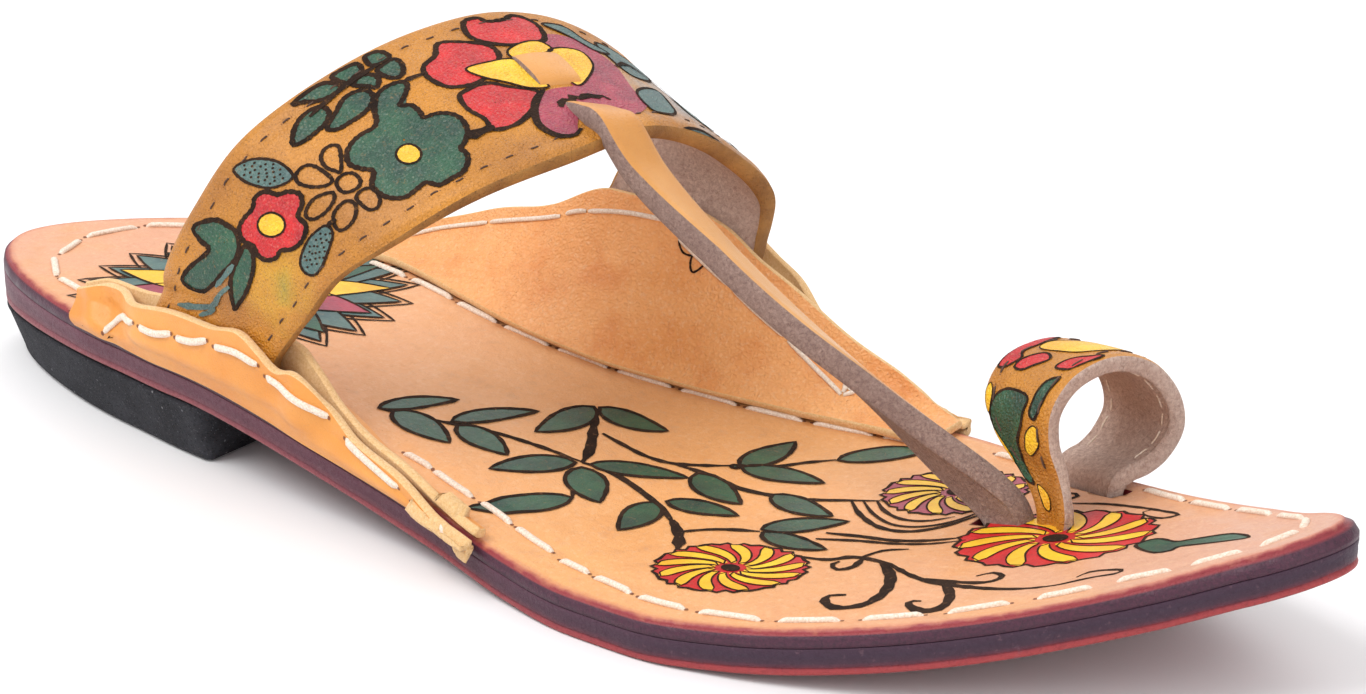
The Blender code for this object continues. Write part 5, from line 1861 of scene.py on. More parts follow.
class Brush:
    """Paints motifs on one face as thin patches that follow it."""

    # Heights of fills, lines and layers in millimetres, shares of a line's width at its ends,
    # degrees by which a round flower's petals curve, and the spacing of a line's points.
    FILL, LINE, LAYER = 0.11, 0.03, 0.045
    TAPER = (0.5, 0.35)
    SWIRL = 38.0
    STEP = 1.1
    GOLDEN_ANGLE = 2.39996

    def __init__(self, place: Placer, ground: str, pebbled: bool) -> None:
        """Starts a layer of paint.

        Args:
            place: gives points of the face at a height.
            ground: "footbed" or "strap", which names the finishes.
            pebbled: whether the leather under it is embossed.
        """
        self.place = place
        self.pile = Pile()
        self.paints = list(Paint)
        self.finishes = [PaintFinish(p, ground, pebbled=pebbled).build() for p in self.paints]

    def patch(self, flat: Array, paint: Paint, lift: float) -> None:
        """Adds a grid of points given in the face's own millimetres."""
        points = self.place(flat[..., 0], flat[..., 1], lift)
        self.pile.add(points, grid_quads(*flat.shape[:2]), self.paints.index(paint))

    def line(self, points: Array | Sequence, width: float, paint: Paint = Paint.BURNT,
             closed: bool = False, level: int = 0) -> None:
        """A drawn line whose width wavers a little.

        Args:
            points: the x, y of the points that it passes.
            width: its width.
            paint: its colour.
            closed: whether it returns to its start.
            level: layers of paint below it.
        """
        points = np.asarray(points, dtype=float).reshape(-1, 2)
        if not closed:
            length = np.linalg.norm(np.diff(points, axis=0), axis=1).sum()
            points = path_through(points, max(6, int(length / self.STEP)))
        else:
            points = np.concatenate([points, points[:1]])
        run = np.r_[0.0, np.cumsum(np.linalg.norm(np.diff(points, axis=0), axis=1))]
        along = np.gradient(points, axis=0)
        if closed:
            along[0] = along[-1] = points[1] - points[-2]
        side = unit(np.stack([-along[:, 1], along[:, 0]], axis=1))
        share = run / run[-1]
        ragged = 0.14 * np.sin(run * 5.3 + points[0, 0]) + 0.10 * np.sin(run * 8.9)
        half = width / 2 * (1 + ragged + (0 if closed else 0.14) * np.sin(run * 1.7))
        if not closed:
            start, end = self.TAPER
            half = half * (start + (1 - start) * ease(share * 6))
            half = half * (end + (1 - end) * ease((1 - share) * 4))
        reach = half[:, None] * np.array([-1.0, 0.0, 1.0])
        grid = points[:, None] + side[:, None] * reach[:, :, None]
        self.patch(grid, paint, self.FILL + self.LAYER * level + self.LINE)

    def shape(self, spine: Array, half: Array, paint: Paint | None, edge: float = 0.5,
              level: int = 0) -> Array:
        """A filled shape about a spine, with a burnt outline.

        Args:
            spine: (k, 2) middle line.
            half: (k,) half widths.
            paint: fill, or None for the outline alone.
            edge: width of the outline, or 0.
            level: layers of paint below it.

        Returns:
            (m, 2) boundary.
        """
        along = unit(np.gradient(spine, axis=0))
        side = np.stack([-along[:, 1], along[:, 0]], axis=1)
        if paint is not None:
            cols = np.linspace(-1.0, 1.0, 5)
            grid = spine[:, None] + side[:, None] * (half[:, None] * cols)[:, :, None]
            self.patch(grid, paint, self.FILL + self.LAYER * level)
        border = np.concatenate([spine + side * half[:, None],
                                 (spine - side * half[:, None])[-2:0:-1]])
        if edge:
            self.line(border, edge, closed=True, level=level)
        return border

    def leaf(self, base: tuple[float, float], tip: tuple[float, float], width: float,
             bend: float = 0.0, paint: Paint | None = Paint.GREEN, full: float = 1.0,
             edge: float = 0.5, level: int = 0) -> None:
        """A leaf or petal.

        Args:
            base: its foot.
            tip: its point.
            width: widest width.
            bend: sideways bow of its middle.
            paint: fill, or None for the outline alone.
            full: above one, a rounder and blunter tip.
            edge: width of the outline.
            level: layers of paint below it.
        """
        base, tip = np.array(base, dtype=float), np.array(tip, dtype=float)
        share = np.linspace(0.0, 1.0, 15)
        reach = tip - base
        side = unit(np.array([-reach[1], reach[0]]))
        spine = base + reach * share[:, None] + side * (bend * 4 * share * (1 - share))[:, None]
        spread = np.sin(np.pi * share ** (0.75 + 0.35 * (full - 1))) ** (0.85 / full)
        self.shape(spine, width / 2 * np.clip(spread, 0.02, 1), paint, edge, level)

    def area(self, points: Sequence[float], paint: Paint | None,
             level: int = 0, edge: float = 0.7, centre: tuple[float, float] | None = None) -> None:
        """A filled shape inside a smooth closed line through points.

        Args:
            points: the x, y of its corners in order.
            paint: fill, or None for the outline alone.
            level: layers of paint below it.
            edge: width of its burnt outline, or 0.
            centre: a place inside from which the whole line is seen.
        """
        at = np.array(points, dtype=float).reshape(-1, 2)
        before, here, after, later = (np.roll(at, k, axis=0)[:, None] for k in (1, 0, -1, -2))
        t = np.linspace(0.0, 1.0, 6)[:-1][None, :, None]
        rim = 0.5 * (2 * here + (after - before) * t
                     + (2 * before - 5 * here + 4 * after - later) * t ** 2
                     + (3 * here - before - 3 * after + later) * t ** 3)
        rim = rim.reshape(-1, 2)
        if paint is not None:
            middle = rim.mean(axis=0) if centre is None else np.array(centre)
            ring = np.concatenate([rim, rim[:1]])
            steps = np.array([0.02, 0.3, 0.55, 0.8, 1.0])
            grid = middle + (ring - middle)[:, None] * steps[None, :, None]
            self.patch(grid, paint, self.FILL + self.LAYER * level)
        if edge:
            self.line(rim, edge, closed=True, level=level)

    def blot(self, centre: tuple[float, float], radii: tuple[float, float], paint: Paint,
             turn: float = 0.0, lobes: int = 0, depth: float = 0.0, edge: float = 0.5,
             level: int = 0) -> None:
        """A filled round or lobed spot: r = 1 - depth + depth |cos(lobes a / 2)|.

        Args:
            centre: its middle.
            radii: half sizes along and across.
            paint: its colour.
            turn: turn in degrees.
            lobes: number of lobes.
            depth: how deep they are, as a share.
            edge: width of the outline, or 0.
            level: layers of paint below it.
        """
        angle = np.linspace(0.0, 2 * np.pi, 61)
        radius = np.ones_like(angle)
        if lobes:
            radius = 1 - depth + depth * np.abs(np.cos(lobes * angle / 2))
        c, s = math.cos(math.radians(turn)), math.sin(math.radians(turn))
        x, y = radii[0] * radius * np.cos(angle), radii[1] * radius * np.sin(angle)
        rim = np.stack([centre[0] + x * c - y * s, centre[1] + x * s + y * c], axis=1)
        steps = np.array([0.02, 0.35, 0.7, 1.0])
        grid = np.array(centre) + (rim - np.array(centre))[:, None] * steps[None, :, None]
        self.patch(grid, paint, self.FILL + self.LAYER * level)
        if edge:
            self.line(rim[:-1], edge, closed=True, level=level)

    def stipple(self, border_centre: tuple[float, float], spread: tuple[float, float],
                turn: float, count: int, radius: float = 0.22) -> None:
        """Small burnt dots in an oval, in a sunflower's order.

        Args:
            border_centre: middle of the oval.
            spread: half sizes.
            turn: turn in degrees.
            count: how many.
            radius: of each dot.
        """
        c, s = math.cos(math.radians(turn)), math.sin(math.radians(turn))
        for k in range(count):
            r, a = math.sqrt((k + 0.5) / count), k * self.GOLDEN_ANGLE
            x, y = spread[0] * r * math.cos(a), spread[1] * r * math.sin(a)
            self.blot((border_centre[0] + x * c - y * s, border_centre[1] + x * s + y * c),
                      (radius, radius), Paint.BURNT, edge=0.0, level=1)

    def pinwheel(self, centre: tuple[float, float], radii: tuple[float, float], turn: float,
                 petals: int, dull: bool = False) -> None:
        """A round flower of curved petals, yellow on red.

        Args:
            centre: its middle.
            radii: half sizes.
            turn: turn in degrees.
            petals: how many yellow petals.
            dull: whether its red is pale.
        """
        red = Paint.ROSE if dull else Paint.RED
        self.blot(centre, radii, red, turn, lobes=2 * petals, depth=0.10, edge=0.55)
        c, s = math.cos(math.radians(turn)), math.sin(math.radians(turn))
        share = np.linspace(0.0, 1.0, 11)
        for k in range(petals):
            start = 2 * math.pi * k / petals
            angle = start + math.radians(self.SWIRL) * share
            r = 0.20 + 0.74 * share
            x, y = radii[0] * r * np.cos(angle), radii[1] * r * np.sin(angle)
            spine = np.stack([centre[0] + x * c - y * s, centre[1] + x * s + y * c], axis=1)
            half = radii[1] * (0.038 + 0.104 * share ** 0.8) * np.sqrt(1.02 - share ** 6)
            self.shape(spine, half, Paint.YELLOW, 0.30, level=1)
        self.blot(centre, (radii[0] * 0.13, radii[1] * 0.13), Paint.BURNT, edge=0.0, level=2)

    def make(self, name: str, slot: str) -> None:
        """Makes the layer as one piece.

        Args:
            name: the object's name.
            slot: not used.
        """
        made = self.pile.make(name, self.finishes)
        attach(made, "root")


class FootbedPaint:
    """Vines, round flowers and scrolls painted on the footbed."""

    # Base, tip, width and bend of each leaf.
    LEAVES = (
        ((101.5, -22.5), (107.5, -10.5), 3.6, 0.6), ((103.5, -21.5), (115.8, -22), 6, 0.4),
        ((111.5, -16.5), (118, -3.2), 3.8, 0.6), ((113, -17), (124, -17.8), 5.4, 0.4),
        ((122.6, 5), (122, -8.6), 5.6, 0.6), ((123.4, 5.6), (135.6, 7.8), 5.2, -0.6),
        ((132.6, -11.4), (125.2, -23.2), 5.2, -0.5), ((134.6, -10.2), (148, -2.6), 4.4, 0.6),
        ((134.2, -12), (143.6, -18.8), 6.4, -0.4), ((139.6, -20.6), (131, -35), 5.4, 0.5),
        ((149.4, -13), (151.6, -24), 5.6, 0.5), ((150.8, -11.4), (162.4, -8.6), 4.6, 0.5),
        ((151, 6.6), (152.4, 19.2), 5.2, -0.5), ((151.8, 6), (165.4, 9.2), 5.2, 0.4),
        ((162, 17.6), (172.8, 30.6), 5, 0.6), ((148, -0.4), (160, -4.8), 5.8, -0.5),
        ((161.8, 1), (174, -0.2), 5.2, -0.4), ((168.4, -10.4), (177.4, -0.6), 5, 0.5),
        ((169.2, -11.2), (181.2, -11.4), 4.6, -0.4), ((150.4, 5.2), (151.4, 6.2), 1.2, 0))
    # Width of each line, then the x, y of its points in turn.
    STEMS = (
        (1, (101.5, -22.5, 107, -20, 112, -17, 118, -13.9, 126, -11.6, 133.4, -10.4)),
        (1.7, (122.9, 4.8, 125.5, 1.7, 128.9, -2.9, 131.5, -6.7, 133.3, -10.6)),
        (1.1, (133.3, -10.6, 136.3, -9.7, 140.7, -10, 145.9, -11.4, 152, -13.9, 157.5, -17.6)),
        (1.9, (155.5, -16, 158, -18, 160.6, -20.6, 163, -24)),
        (1.1, (129.2, -0.7, 133.4, -1.1, 138.5, -1.4, 142.6, -0.5, 146.9, 2.6, 150.8, 6.2)),
        (0.8, (151, 6.2, 155.8, 10.2, 158.4, 13.9, 161.6, 17.6)),
        (1.1, (142.4, -0.4, 149.8, 0.6, 155.8, -0.2, 161.2, 0.6, 166.8, 2.7, 172.6, 6.3, 176.7,
         8.6)),
        (0.9, (159.3, -18.4, 162.2, -15.1, 165.5, -12.7, 168.6, -11.1)),
        (0.9, (173, 6.2, 177.1, 2.7, 183.1, -0.2, 187.8, 0.2, 191.5, 3.8, 194.4, 11.2)),
        (0.8, (174.5, 7.2, 178.9, 3.8, 184.3, 1.6, 188.5, 2.7, 191.7, 6.2, 193.6, 12.5)),
        (0.7, (176.3, 8.3, 179.5, 5.7, 183.8, 4.1, 187.6, 4.9, 190.9, 8.2)),
        (0.9, (177.1, -5.9, 182.4, -4.5, 188.1, -3.7, 193, -1.8, 197.2, 1)),
        (0.8, (177.2, -8.6, 183, -6.2, 188.9, -4.8, 193.8, -3, 198.4, 0.2)),
        (1.1, (178.8, -15.7, 184, -14.4, 186.4, -12, 192.2, -12, 199.4, -15.2, 204, -16.7, 207.9,
         -17.1, 216.3, -17.2, 221.5, -16.3, 225.2, -14.5, 228.3, -11.7)),
        (1.1, (188.4, -12.2, 189, -15.6, 187.4, -17.2, 185.6, -15.8, 185.8, -14.2)),
        (2, (192, -12.1, 196.9, -16.8, 199.9, -23, 199.7, -28.1, 196.9, -30.1, 193.7, -28.5, 192.8,
         -26.4, 195, -25.1)),
        (0.7, (187.7, -11.8, 189.2, -7.8, 192.4, -5.9)),
        (1.8, (205.8, -16.2, 210.2, -20.9, 212, -25.5, 210, -27.3, 207, -26.3, 205.8, -24.4, 207.4,
         -24)),
        (1.1, (202.2, -15.8, 207.6, -15.8, 212.7, -14.7, 213.4, -12.4, 210.9, -11.1, 209.2, -12.9)),
        (1, (134.4, -12.4, 137, -17, 139.8, -20.8)),
        (0.7, (204.3, 18.5, 210, 19.2, 216.2, 18.4, 221, 17.2, 225.6, 15.2, 224.3, 13.9, 221.6,
         14.3, 218.8, 16.3, 219.6, 17.2)),
        (0.7, (200.6, 21.9, 202.9, 22.5, 204.2, 21.2, 202.6, 19.7)),
        (1, (224, -15.4, 228.3, -11.7, 231.2, -10.3, 231.3, -8.9, 228.6, -8.6, 226.1, -9.5, 225.4,
         -11.7)))
    # The x, y of its corners in turn.
    TOE_LEAF = (226.8, 1.6, 227.4, 4, 229.2, 4.6, 232.6, 3.2, 235.3, 4.2, 240.2, 5.4, 244.5, 2.9,
     239.3, 1.8, 234.7, 0.9, 234, -0.9, 231.4, -1.4)

    HEEL_FLOWER = (53.0, -3.6)
    OUTER_PETALS = 24
    INNER_PETALS = "RYGRYGGYRGYRGG"

    def __init__(self, footbed: Footbed) -> None:
        """Starts the layer."""
        self.brush = Brush(footbed.place, "footbed", False)

    def heel_flower(self) -> None:
        """The large flower on the seat: pointed petals in rings."""
        centre = np.array(self.HEEL_FLOWER)

        def petal(angle: float, inner: float, outer: float, width: float,
                  paint: Paint | None, level: int) -> None:
            """One petal that points away from the flower's middle."""
            way = np.array([math.cos(math.radians(angle)), math.sin(math.radians(angle))])
            self.brush.leaf(tuple(centre + way * inner), tuple(centre + way * outer), width,
                            paint=paint, full=0.9, level=level)

        step = 360 // self.OUTER_PETALS
        for k in range(self.OUTER_PETALS):
            petal(11.5 + step * k, 12.0, 29.6, 8.6, None, 0)
        self.brush.blot(tuple(centre), (19.5, 19.5), Paint.GREY, edge=0.0)
        for k in range(self.OUTER_PETALS):
            petal(11.5 + step * k, 9.0, 27.6, 7.4, Paint.GREY, 1 + k % 2)
        paints = {"R": Paint.ROSE, "Y": Paint.YELLOW, "G": Paint.GREEN}
        for k, letter in enumerate(self.INNER_PETALS):
            petal(12.0 + 360 / len(self.INNER_PETALS) * k, 4.0, 25.0, 8.2, paints[letter], 3)
        self.brush.blot(tuple(centre), (6.0, 6.0), Paint.GREEN, level=4)

    def build(self) -> None:
        """Paints the footbed."""
        for width, points in self.STEMS:
            self.brush.line(points, width)
        for base, tip, width, bend in self.LEAVES:
            self.brush.leaf(base, tip, width, bend, full=1.05, edge=0.75, level=1)
        self.brush.pinwheel((173.5, -24.6), (11.8, 9.3), 33.0, petals=13)
        self.brush.pinwheel((185.0, 16.8), (11.6, 9.4), 33.0, petals=13, dull=True)
        self.brush.pinwheel((211.6, 4.0), (15.4, 12.6), 12.0, petals=11)
        self.brush.area(self.TOE_LEAF, Paint.GREEN, 1, 0.6)
        self.heel_flower()
        self.brush.make("footbed_paint", "insole_leather")


class StrapPaint:
    """Flowers painted along a strap: outlines placed on its face."""

    # Paint (None for the outline alone), layers below, the arc and distance across of each
    # corner in turn, and a place inside that sees them all where the middle doesn't.
    BAND = (
        (Paint.GREEN, 0, (22.4, 2.5, 24.9, 5.4, 25.2, 8.1, 24.8, 10.8, 22.5, 12.8, 20, 13.1, 17.1,
         12.1, 14.6, 11.5, 12.2, 10.1, 11.5, 7.2, 12.5, 5, 15.3, 5.5, 19.1, 7.4, 20.3, 7.1, 20.8,
         4.7), (22.4, 9.6)),
        (Paint.GREEN, 0, (23.5, 13.6, 23.2, 15.5, 21.2, 17, 18.9, 17.8, 15.3, 18.3, 13, 17.9, 11.3,
         17.5, 13.3, 16.3, 16.3, 14.5, 18.8, 13.8, 21.4, 13.6), None),
        (Paint.RED, 0, (29.7, 10.9, 31.5, 10.1, 33.2, 11, 33.9, 13.4, 35.2, 14.6, 35.9, 16.7, 34.7,
         18.4, 32.7, 19.2, 32, 21.7, 29.5, 22.8, 27.2, 22.1, 25.9, 20.3, 24.4, 20.3, 23.1, 18.8,
         23.2, 16.8, 24.2, 15.1, 24.2, 12.8, 25.6, 10.8, 27.5, 10.5), None),
        (Paint.YELLOW, 1, (30.8, 14.5, 31.1, 16.7, 30.2, 18.2, 28.7, 18.5, 27.2, 17.2, 26.9, 15.1,
         27.8, 13.6, 29.3, 13.3), None),
        (Paint.GREY, 0, (33.5, 3.2, 35.5, 4, 37.3, 6.3, 38.3, 9.4, 37.9, 12.9, 36.3, 13.2, 34.1,
         11.3, 33, 7.9, 32.9, 5.2), None),
        (None, 0, (42.6, 14.3, 44, 13.3, 45.3, 13.5, 45.8, 14.7, 44.5, 16.9, 42.7, 19, 42.2, 18,
         41.9, 16.3), None),
        (None, 0, (38.2, 13.4, 39.8, 13.2, 40.8, 14.1, 41.1, 16.2, 40.8, 19.2, 39.4, 19.2, 37.9,
         17.3, 37.3, 14.9), None),
        (None, 0, (40.8, 20.2, 42.4, 19.8, 43.6, 20.9, 43.4, 22.9, 42.3, 23.8, 40.8, 23.4, 40.1,
         22.2), None),
        (None, 0, (34, 19.9, 35.9, 19.4, 37.5, 19.8, 39.1, 21.2, 38.2, 22.5, 36, 23, 33.9, 22.3,
         33.3, 21), None),
        (None, 0, (40.7, 25.1, 42.3, 24.8, 43.4, 25.9, 42.9, 28.2, 41.4, 29.5, 40.2, 28.8, 40.2,
         26.8), None),
        (None, 0, (36, 24.6, 37.6, 24.1, 39.3, 24.4, 39.6, 26.1, 38, 27.8, 36.1, 28.3, 34.6, 27.7,
         34.7, 26.2), None),
        (Paint.GREY, 0, (33.9, 26, 32.8, 27.3, 30.1, 28.3, 27.2, 28.9, 25.1, 28.7, 24.5, 27.1, 25.4,
         25.2, 27.4, 24.2, 30.4, 23.7, 32.5, 24.1, 33.8, 24.7), None),
        (Paint.GREEN, 0, (52.9, 14.8, 54, 12.8, 56.3, 10.2, 58.8, 9.7, 60.8, 10.5, 60.8, 11.9, 59.1,
         13.5, 57.3, 14.8, 58.5, 16.1, 58.4, 18.4, 58.1, 19.8, 60, 20.5, 61.5, 22.1, 61.9, 24.3,
         60.9, 27, 59, 28.8, 57.6, 29.5, 57.6, 30.9, 56.6, 32.6, 54.7, 33.8, 52.6, 33.7, 50.4, 33.4,
         49.4, 31.5, 47.5, 31.5, 45.4, 31.4, 43.9, 29.8, 43.4, 27.7, 43.8, 25.3, 45.8, 23.2, 45,
         21.2, 44.5, 19, 45.7, 16.8, 47.8, 15.6, 49.8, 15.4, 51.6, 15.7), (53, 21.5)),
        (Paint.YELLOW, 1, (52.9, 22.9, 53.3, 24.5, 52.8, 26.1, 51.5, 26.9, 50.2, 26.3, 49.7, 24.7,
         50.3, 23.1, 51.6, 22.4), None),
        (Paint.GREEN, 0, (41.9, 8.5, 43.3, 6.6, 45.7, 5, 48.1, 4.7, 49.5, 5.6, 49.4, 7.5, 47.8, 8.9,
         45.6, 9.3, 43.5, 9.3), None),
        (Paint.GREEN, 0, (47.2, 10, 50.1, 8.3, 52.4, 6.9, 54.3, 6.8, 55.9, 7.8, 55.9, 9.8, 54.4,
         11.3, 52.4, 11.9, 50.1, 11.8, 48, 11.5), None),
        (Paint.GREEN, 0, (47, 1.6, 50.6, 1.2, 52.8, 1.7, 54, 3.3, 53.7, 4.4, 51.8, 4.6, 49.7, 3.8,
         48.5, 2.6), None),
        (Paint.GREEN, 0, (54.3, 1.4, 56.6, 1.2, 58.6, 1.8, 58.3, 3.5, 56.6, 3.9, 55, 4), None),
        (Paint.GREEN, 0, (60.4, 1.3, 62.2, 1.4, 63.2, 2.6, 63, 4.1, 61.3, 4.3, 59.9, 3.5), None),
        (Paint.GREEN, 0, (59.8, 5.4, 62.1, 4.8, 63.4, 5.1, 63.3, 7.1, 62.1, 8.9, 60.8, 9.1, 59.9,
         7.7), None),
        (Paint.GREEN, 0, (55.4, 5.3, 57.4, 4.6, 58.6, 5.5, 58.8, 7.2, 57.4, 8.6, 56.6, 7.2), None),
        (Paint.RED, 0, (70.7, 5.8, 73.7, 7.1, 76.6, 9.7, 76.7, 12.4, 75, 15, 72.8, 16.6, 70.2, 18,
         67.8, 18, 65.1, 16.3, 64.3, 12.4, 65.4, 9.7, 68.4, 8.4), None),
        (Paint.RED, 0, (66.1, 19, 70.5, 19.1, 72.7, 21.4, 75.8, 24.3, 72.9, 27.8, 68.2, 30.4, 64.2,
         29.6, 64.6, 26.4, 64.1, 23, 64.8, 20), None),
        (Paint.RED, 0, (77.2, 2.3, 79.6, 1.9, 80.5, 3.3, 83.2, 3.3, 85.1, 2.3, 87.2, 3.5, 87.4, 6.6,
         85.8, 10, 82.9, 10.9, 79.5, 10.7, 77, 9, 75.7, 6.2), None),
        (Paint.ROSE, 0, (85.2, 10.8, 86.8, 8.3, 91.3, 8.1, 94.6, 10.6, 96.1, 14.4, 93.8, 22.1, 92.4,
         28.2, 86, 32.5, 83, 29, 82, 23, 82, 16), None),
        (Paint.ROSE, 1, (73.3, 28, 75.7, 25.2, 78.1, 24.2, 81.6, 24, 86.5, 23.5, 87.6, 28.9, 84, 31,
         79, 31, 76.1, 34, 74.2, 36.6, 71.6, 36, 70.5, 32.6), (76, 29)),
        (Paint.YELLOW, 2, (70, 14.2, 73.8, 14.1, 77.8, 14.9, 77.5, 19.5, 78.2, 23.4, 75.3, 23, 73,
         20.2, 70.8, 17.3), None),
        (Paint.YELLOW, 2, (78.4, 12.2, 82.3, 10.5, 84.8, 10.8, 85.1, 13.3, 81.2, 14.4, 78, 14.5),
         None),
        (Paint.YELLOW, 2, (84.6, 13.2, 90.3, 12.6, 90.2, 16.5, 86.5, 21.1, 82.6, 23.8, 82.7, 18.1),
         None),
        (Paint.GREY, 1, (88.7, 4.8, 93, 4.1, 94.8, 7.4, 98.3, 9, 94.6, 10.6, 91.6, 7.6), None),
        (Paint.GREY, 0, (97.6, 6.3, 103.8, 5, 107.5, 6.6, 104.3, 12.2, 98.7, 15.5, 97.1, 12), None),
        (Paint.GREY, 1, (94.6, 22.5, 102.1, 17.1, 101.3, 21.7, 98.8, 26.7, 93.4, 29.3, 92.6, 26.6),
         None),
        (Paint.GREY, 0, (109.3, 9.1, 112.4, 11.7, 113.6, 17, 110.4, 21.7, 106.6, 20.1, 107.7, 13.1),
         None),
        (Paint.GREY, 0, (97.4, 31.7, 103.4, 28.3, 110.3, 27.8, 105.7, 31.2, 99, 33.4), None),
        (Paint.GREY, 0, (116, 9, 121, 7.4, 125, 9.6, 122, 13.4, 117.6, 13), None),
        (Paint.GREY, 0, (117, 18, 122, 16.6, 127, 18.6, 123, 22.4, 118.6, 22), None))
    RING = (
        (Paint.GREEN, 0, (19.5, 1.2, 21.8, 2.6, 23.7, 5.6, 23.8, 9.6, 23, 11.2, 20.9, 10.3, 18.8, 9,
         16.3, 6.3, 14, 4.7, 11.4, 2.9, 8.6, 2.4, 9.4, 0.8, 13.7, 0.6, 15.9, 0.9, 17.4, 0.7), (19,
         5)),
        (Paint.GREEN, 0, (20.9, 11.9, 22.8, 12.4, 25.8, 13, 27.3, 14.1, 27.9, 15.6, 25.4, 15, 22.7,
         14.4, 20.4, 13), None),
        (Paint.YELLOW, 0, (16.2, 8.2, 17.9, 9.8, 19.3, 12.2, 18.7, 13, 16.3, 11.7, 14.1, 7.8, 14.7,
         7), None),
        (Paint.YELLOW, 1, (20, 0.3, 22.5, 0.3, 24, 1.4, 22.4, 2.2, 19.6, 1.2), None),
        (Paint.YELLOW, 1, (11.6, 0.3, 14.6, 0.2, 17.2, 0.6, 15, 1.5, 12.4, 1.2), None),
        (Paint.RED, 0, (27, 0.9, 31.9, 0.4, 36.2, 0.3, 39.1, 1, 34.2, 2.6, 30.9, 2.6, 29.4, 4.1,
         27.4, 3), None),
        (Paint.RED, 0, (27.5, 4.6, 29.7, 4.8, 32, 6.9, 30.8, 9.4, 28.4, 7.8, 27.3, 6.5), None),
        (Paint.RED, 0, (29.5, 12.6, 32.1, 12.9, 35, 16.2, 34.9, 17, 32.2, 16.7, 30, 15.6), None),
        (Paint.YELLOW, 0, (32.8, 4.2, 35.9, 3, 38.9, 5.2, 42, 7.1, 42.3, 11.3, 43.6, 13.4, 38.2,
         14.6, 34.7, 12.2, 33.4, 8.3), None),
        (Paint.YELLOW, 0, (7.4, 2.6, 8.6, 3.4, 7, 4.6, 4.6, 3.4, 5.1, 2.4), None),
        (Paint.RED, 0, (45, 5, 50, 3.4, 54, 6.4, 51, 10.4, 46, 9.6), None),
        (Paint.GREEN, 0, (50, 13, 55, 11.8, 60, 13.4, 55, 15.6), None),
        (Paint.YELLOW, 0, (57, 3.6, 61, 2.6, 65, 4.4, 62, 7.6, 58, 7), None))
    # Paint, width, and the arc and distance across of each point in turn.
    BAND_LINES = (
        (Paint.GREY, 1.1, (19.6, 13.4, 16.8, 12.9, 14.2, 12.2)),
        (Paint.GREY, 1.3, (15.5, 14.7, 12.9, 13.5, 9.9, 12.9, 8, 9.9, 6.5, 5.5)),
        (Paint.GREY, 1.2, (9.9, 12.9, 8.6, 13.2, 6.7, 11.2)),
        (Paint.BURNT, 0.8, (33.7, 25.1, 34.7, 25.2, 35.8, 25.6)),
        (Paint.BURNT, 1, (47, 5.9, 50, 5.3, 55.1, 4.6, 59, 4.4, 62.5, 4.4)),
        (Paint.BURNT, 0.9, (61.2, 10.6, 62.7, 10.9, 64.5, 11.3)),
        (Paint.BURNT, 1.8, (60, 28.3, 61.9, 28.6, 64.6, 29)),
        (Paint.BURNT, 1.2, (76.4, 29.4, 77.6, 27.6, 79, 28.2, 79.8, 26.9, 81.2, 27.7, 82.2, 26.6,
         83.4, 27.5, 84.6, 26.9, 85.6, 28.2)),
        (Paint.BURNT, 1.1, (77, 23.9, 73.9, 26.6, 71.5, 29.8, 70.3, 33, 71.2, 36.2, 73.4, 37.2,
         75.6, 35.6)),
        (Paint.BURNT, 0.8, (96, 14.4, 102, 10, 110, 13, 118, 14, 127, 13)),
        (Paint.BURNT, 0.8, (112, 19, 118, 20, 127, 18.6)))
    # Widths of the outlines, as shares of the strap's own.
    EDGES = {Paint.YELLOW: 0.45, Paint.ROSE: 0.0, Paint.GREY: 0.55, None: 0.75}
    # Middle, half sizes and turn of each oval of dots.
    DOTTED = (
        ((35.6, 8.4), (4.2, 1.9), 72),
        ((29.3, 26.4), (4, 1.9), 172))

    def __init__(self, sheet: Sheet, name: str, slot: str) -> None:
        """Starts the layer."""
        self.brush = Brush(sheet.place, "strap", True)
        self.name, self.slot = name, slot

    def build(self, areas: Sequence, lines: Sequence = (), dotted: Sequence = (),
              edge: float = 0.9) -> None:
        """Paints the strap.

        Args:
            areas: paint, layer, outline and inner place of each shape.
            lines: paint, width and points of each line.
            dotted: middle, half sizes and turn of each dotted oval.
            edge: width of the burnt outlines.
        """
        for paint, level, points, centre in areas:
            thin = edge * self.EDGES.get(paint, 1.0)
            self.brush.area(points, paint, level, thin, centre)
        for paint, width, points in lines:
            self.brush.line(points, width, paint, level=2)
        for centre, spread, turn in dotted:
            self.brush.stipple(centre, spread, turn, 26)
        self.brush.make(self.name, self.slot)


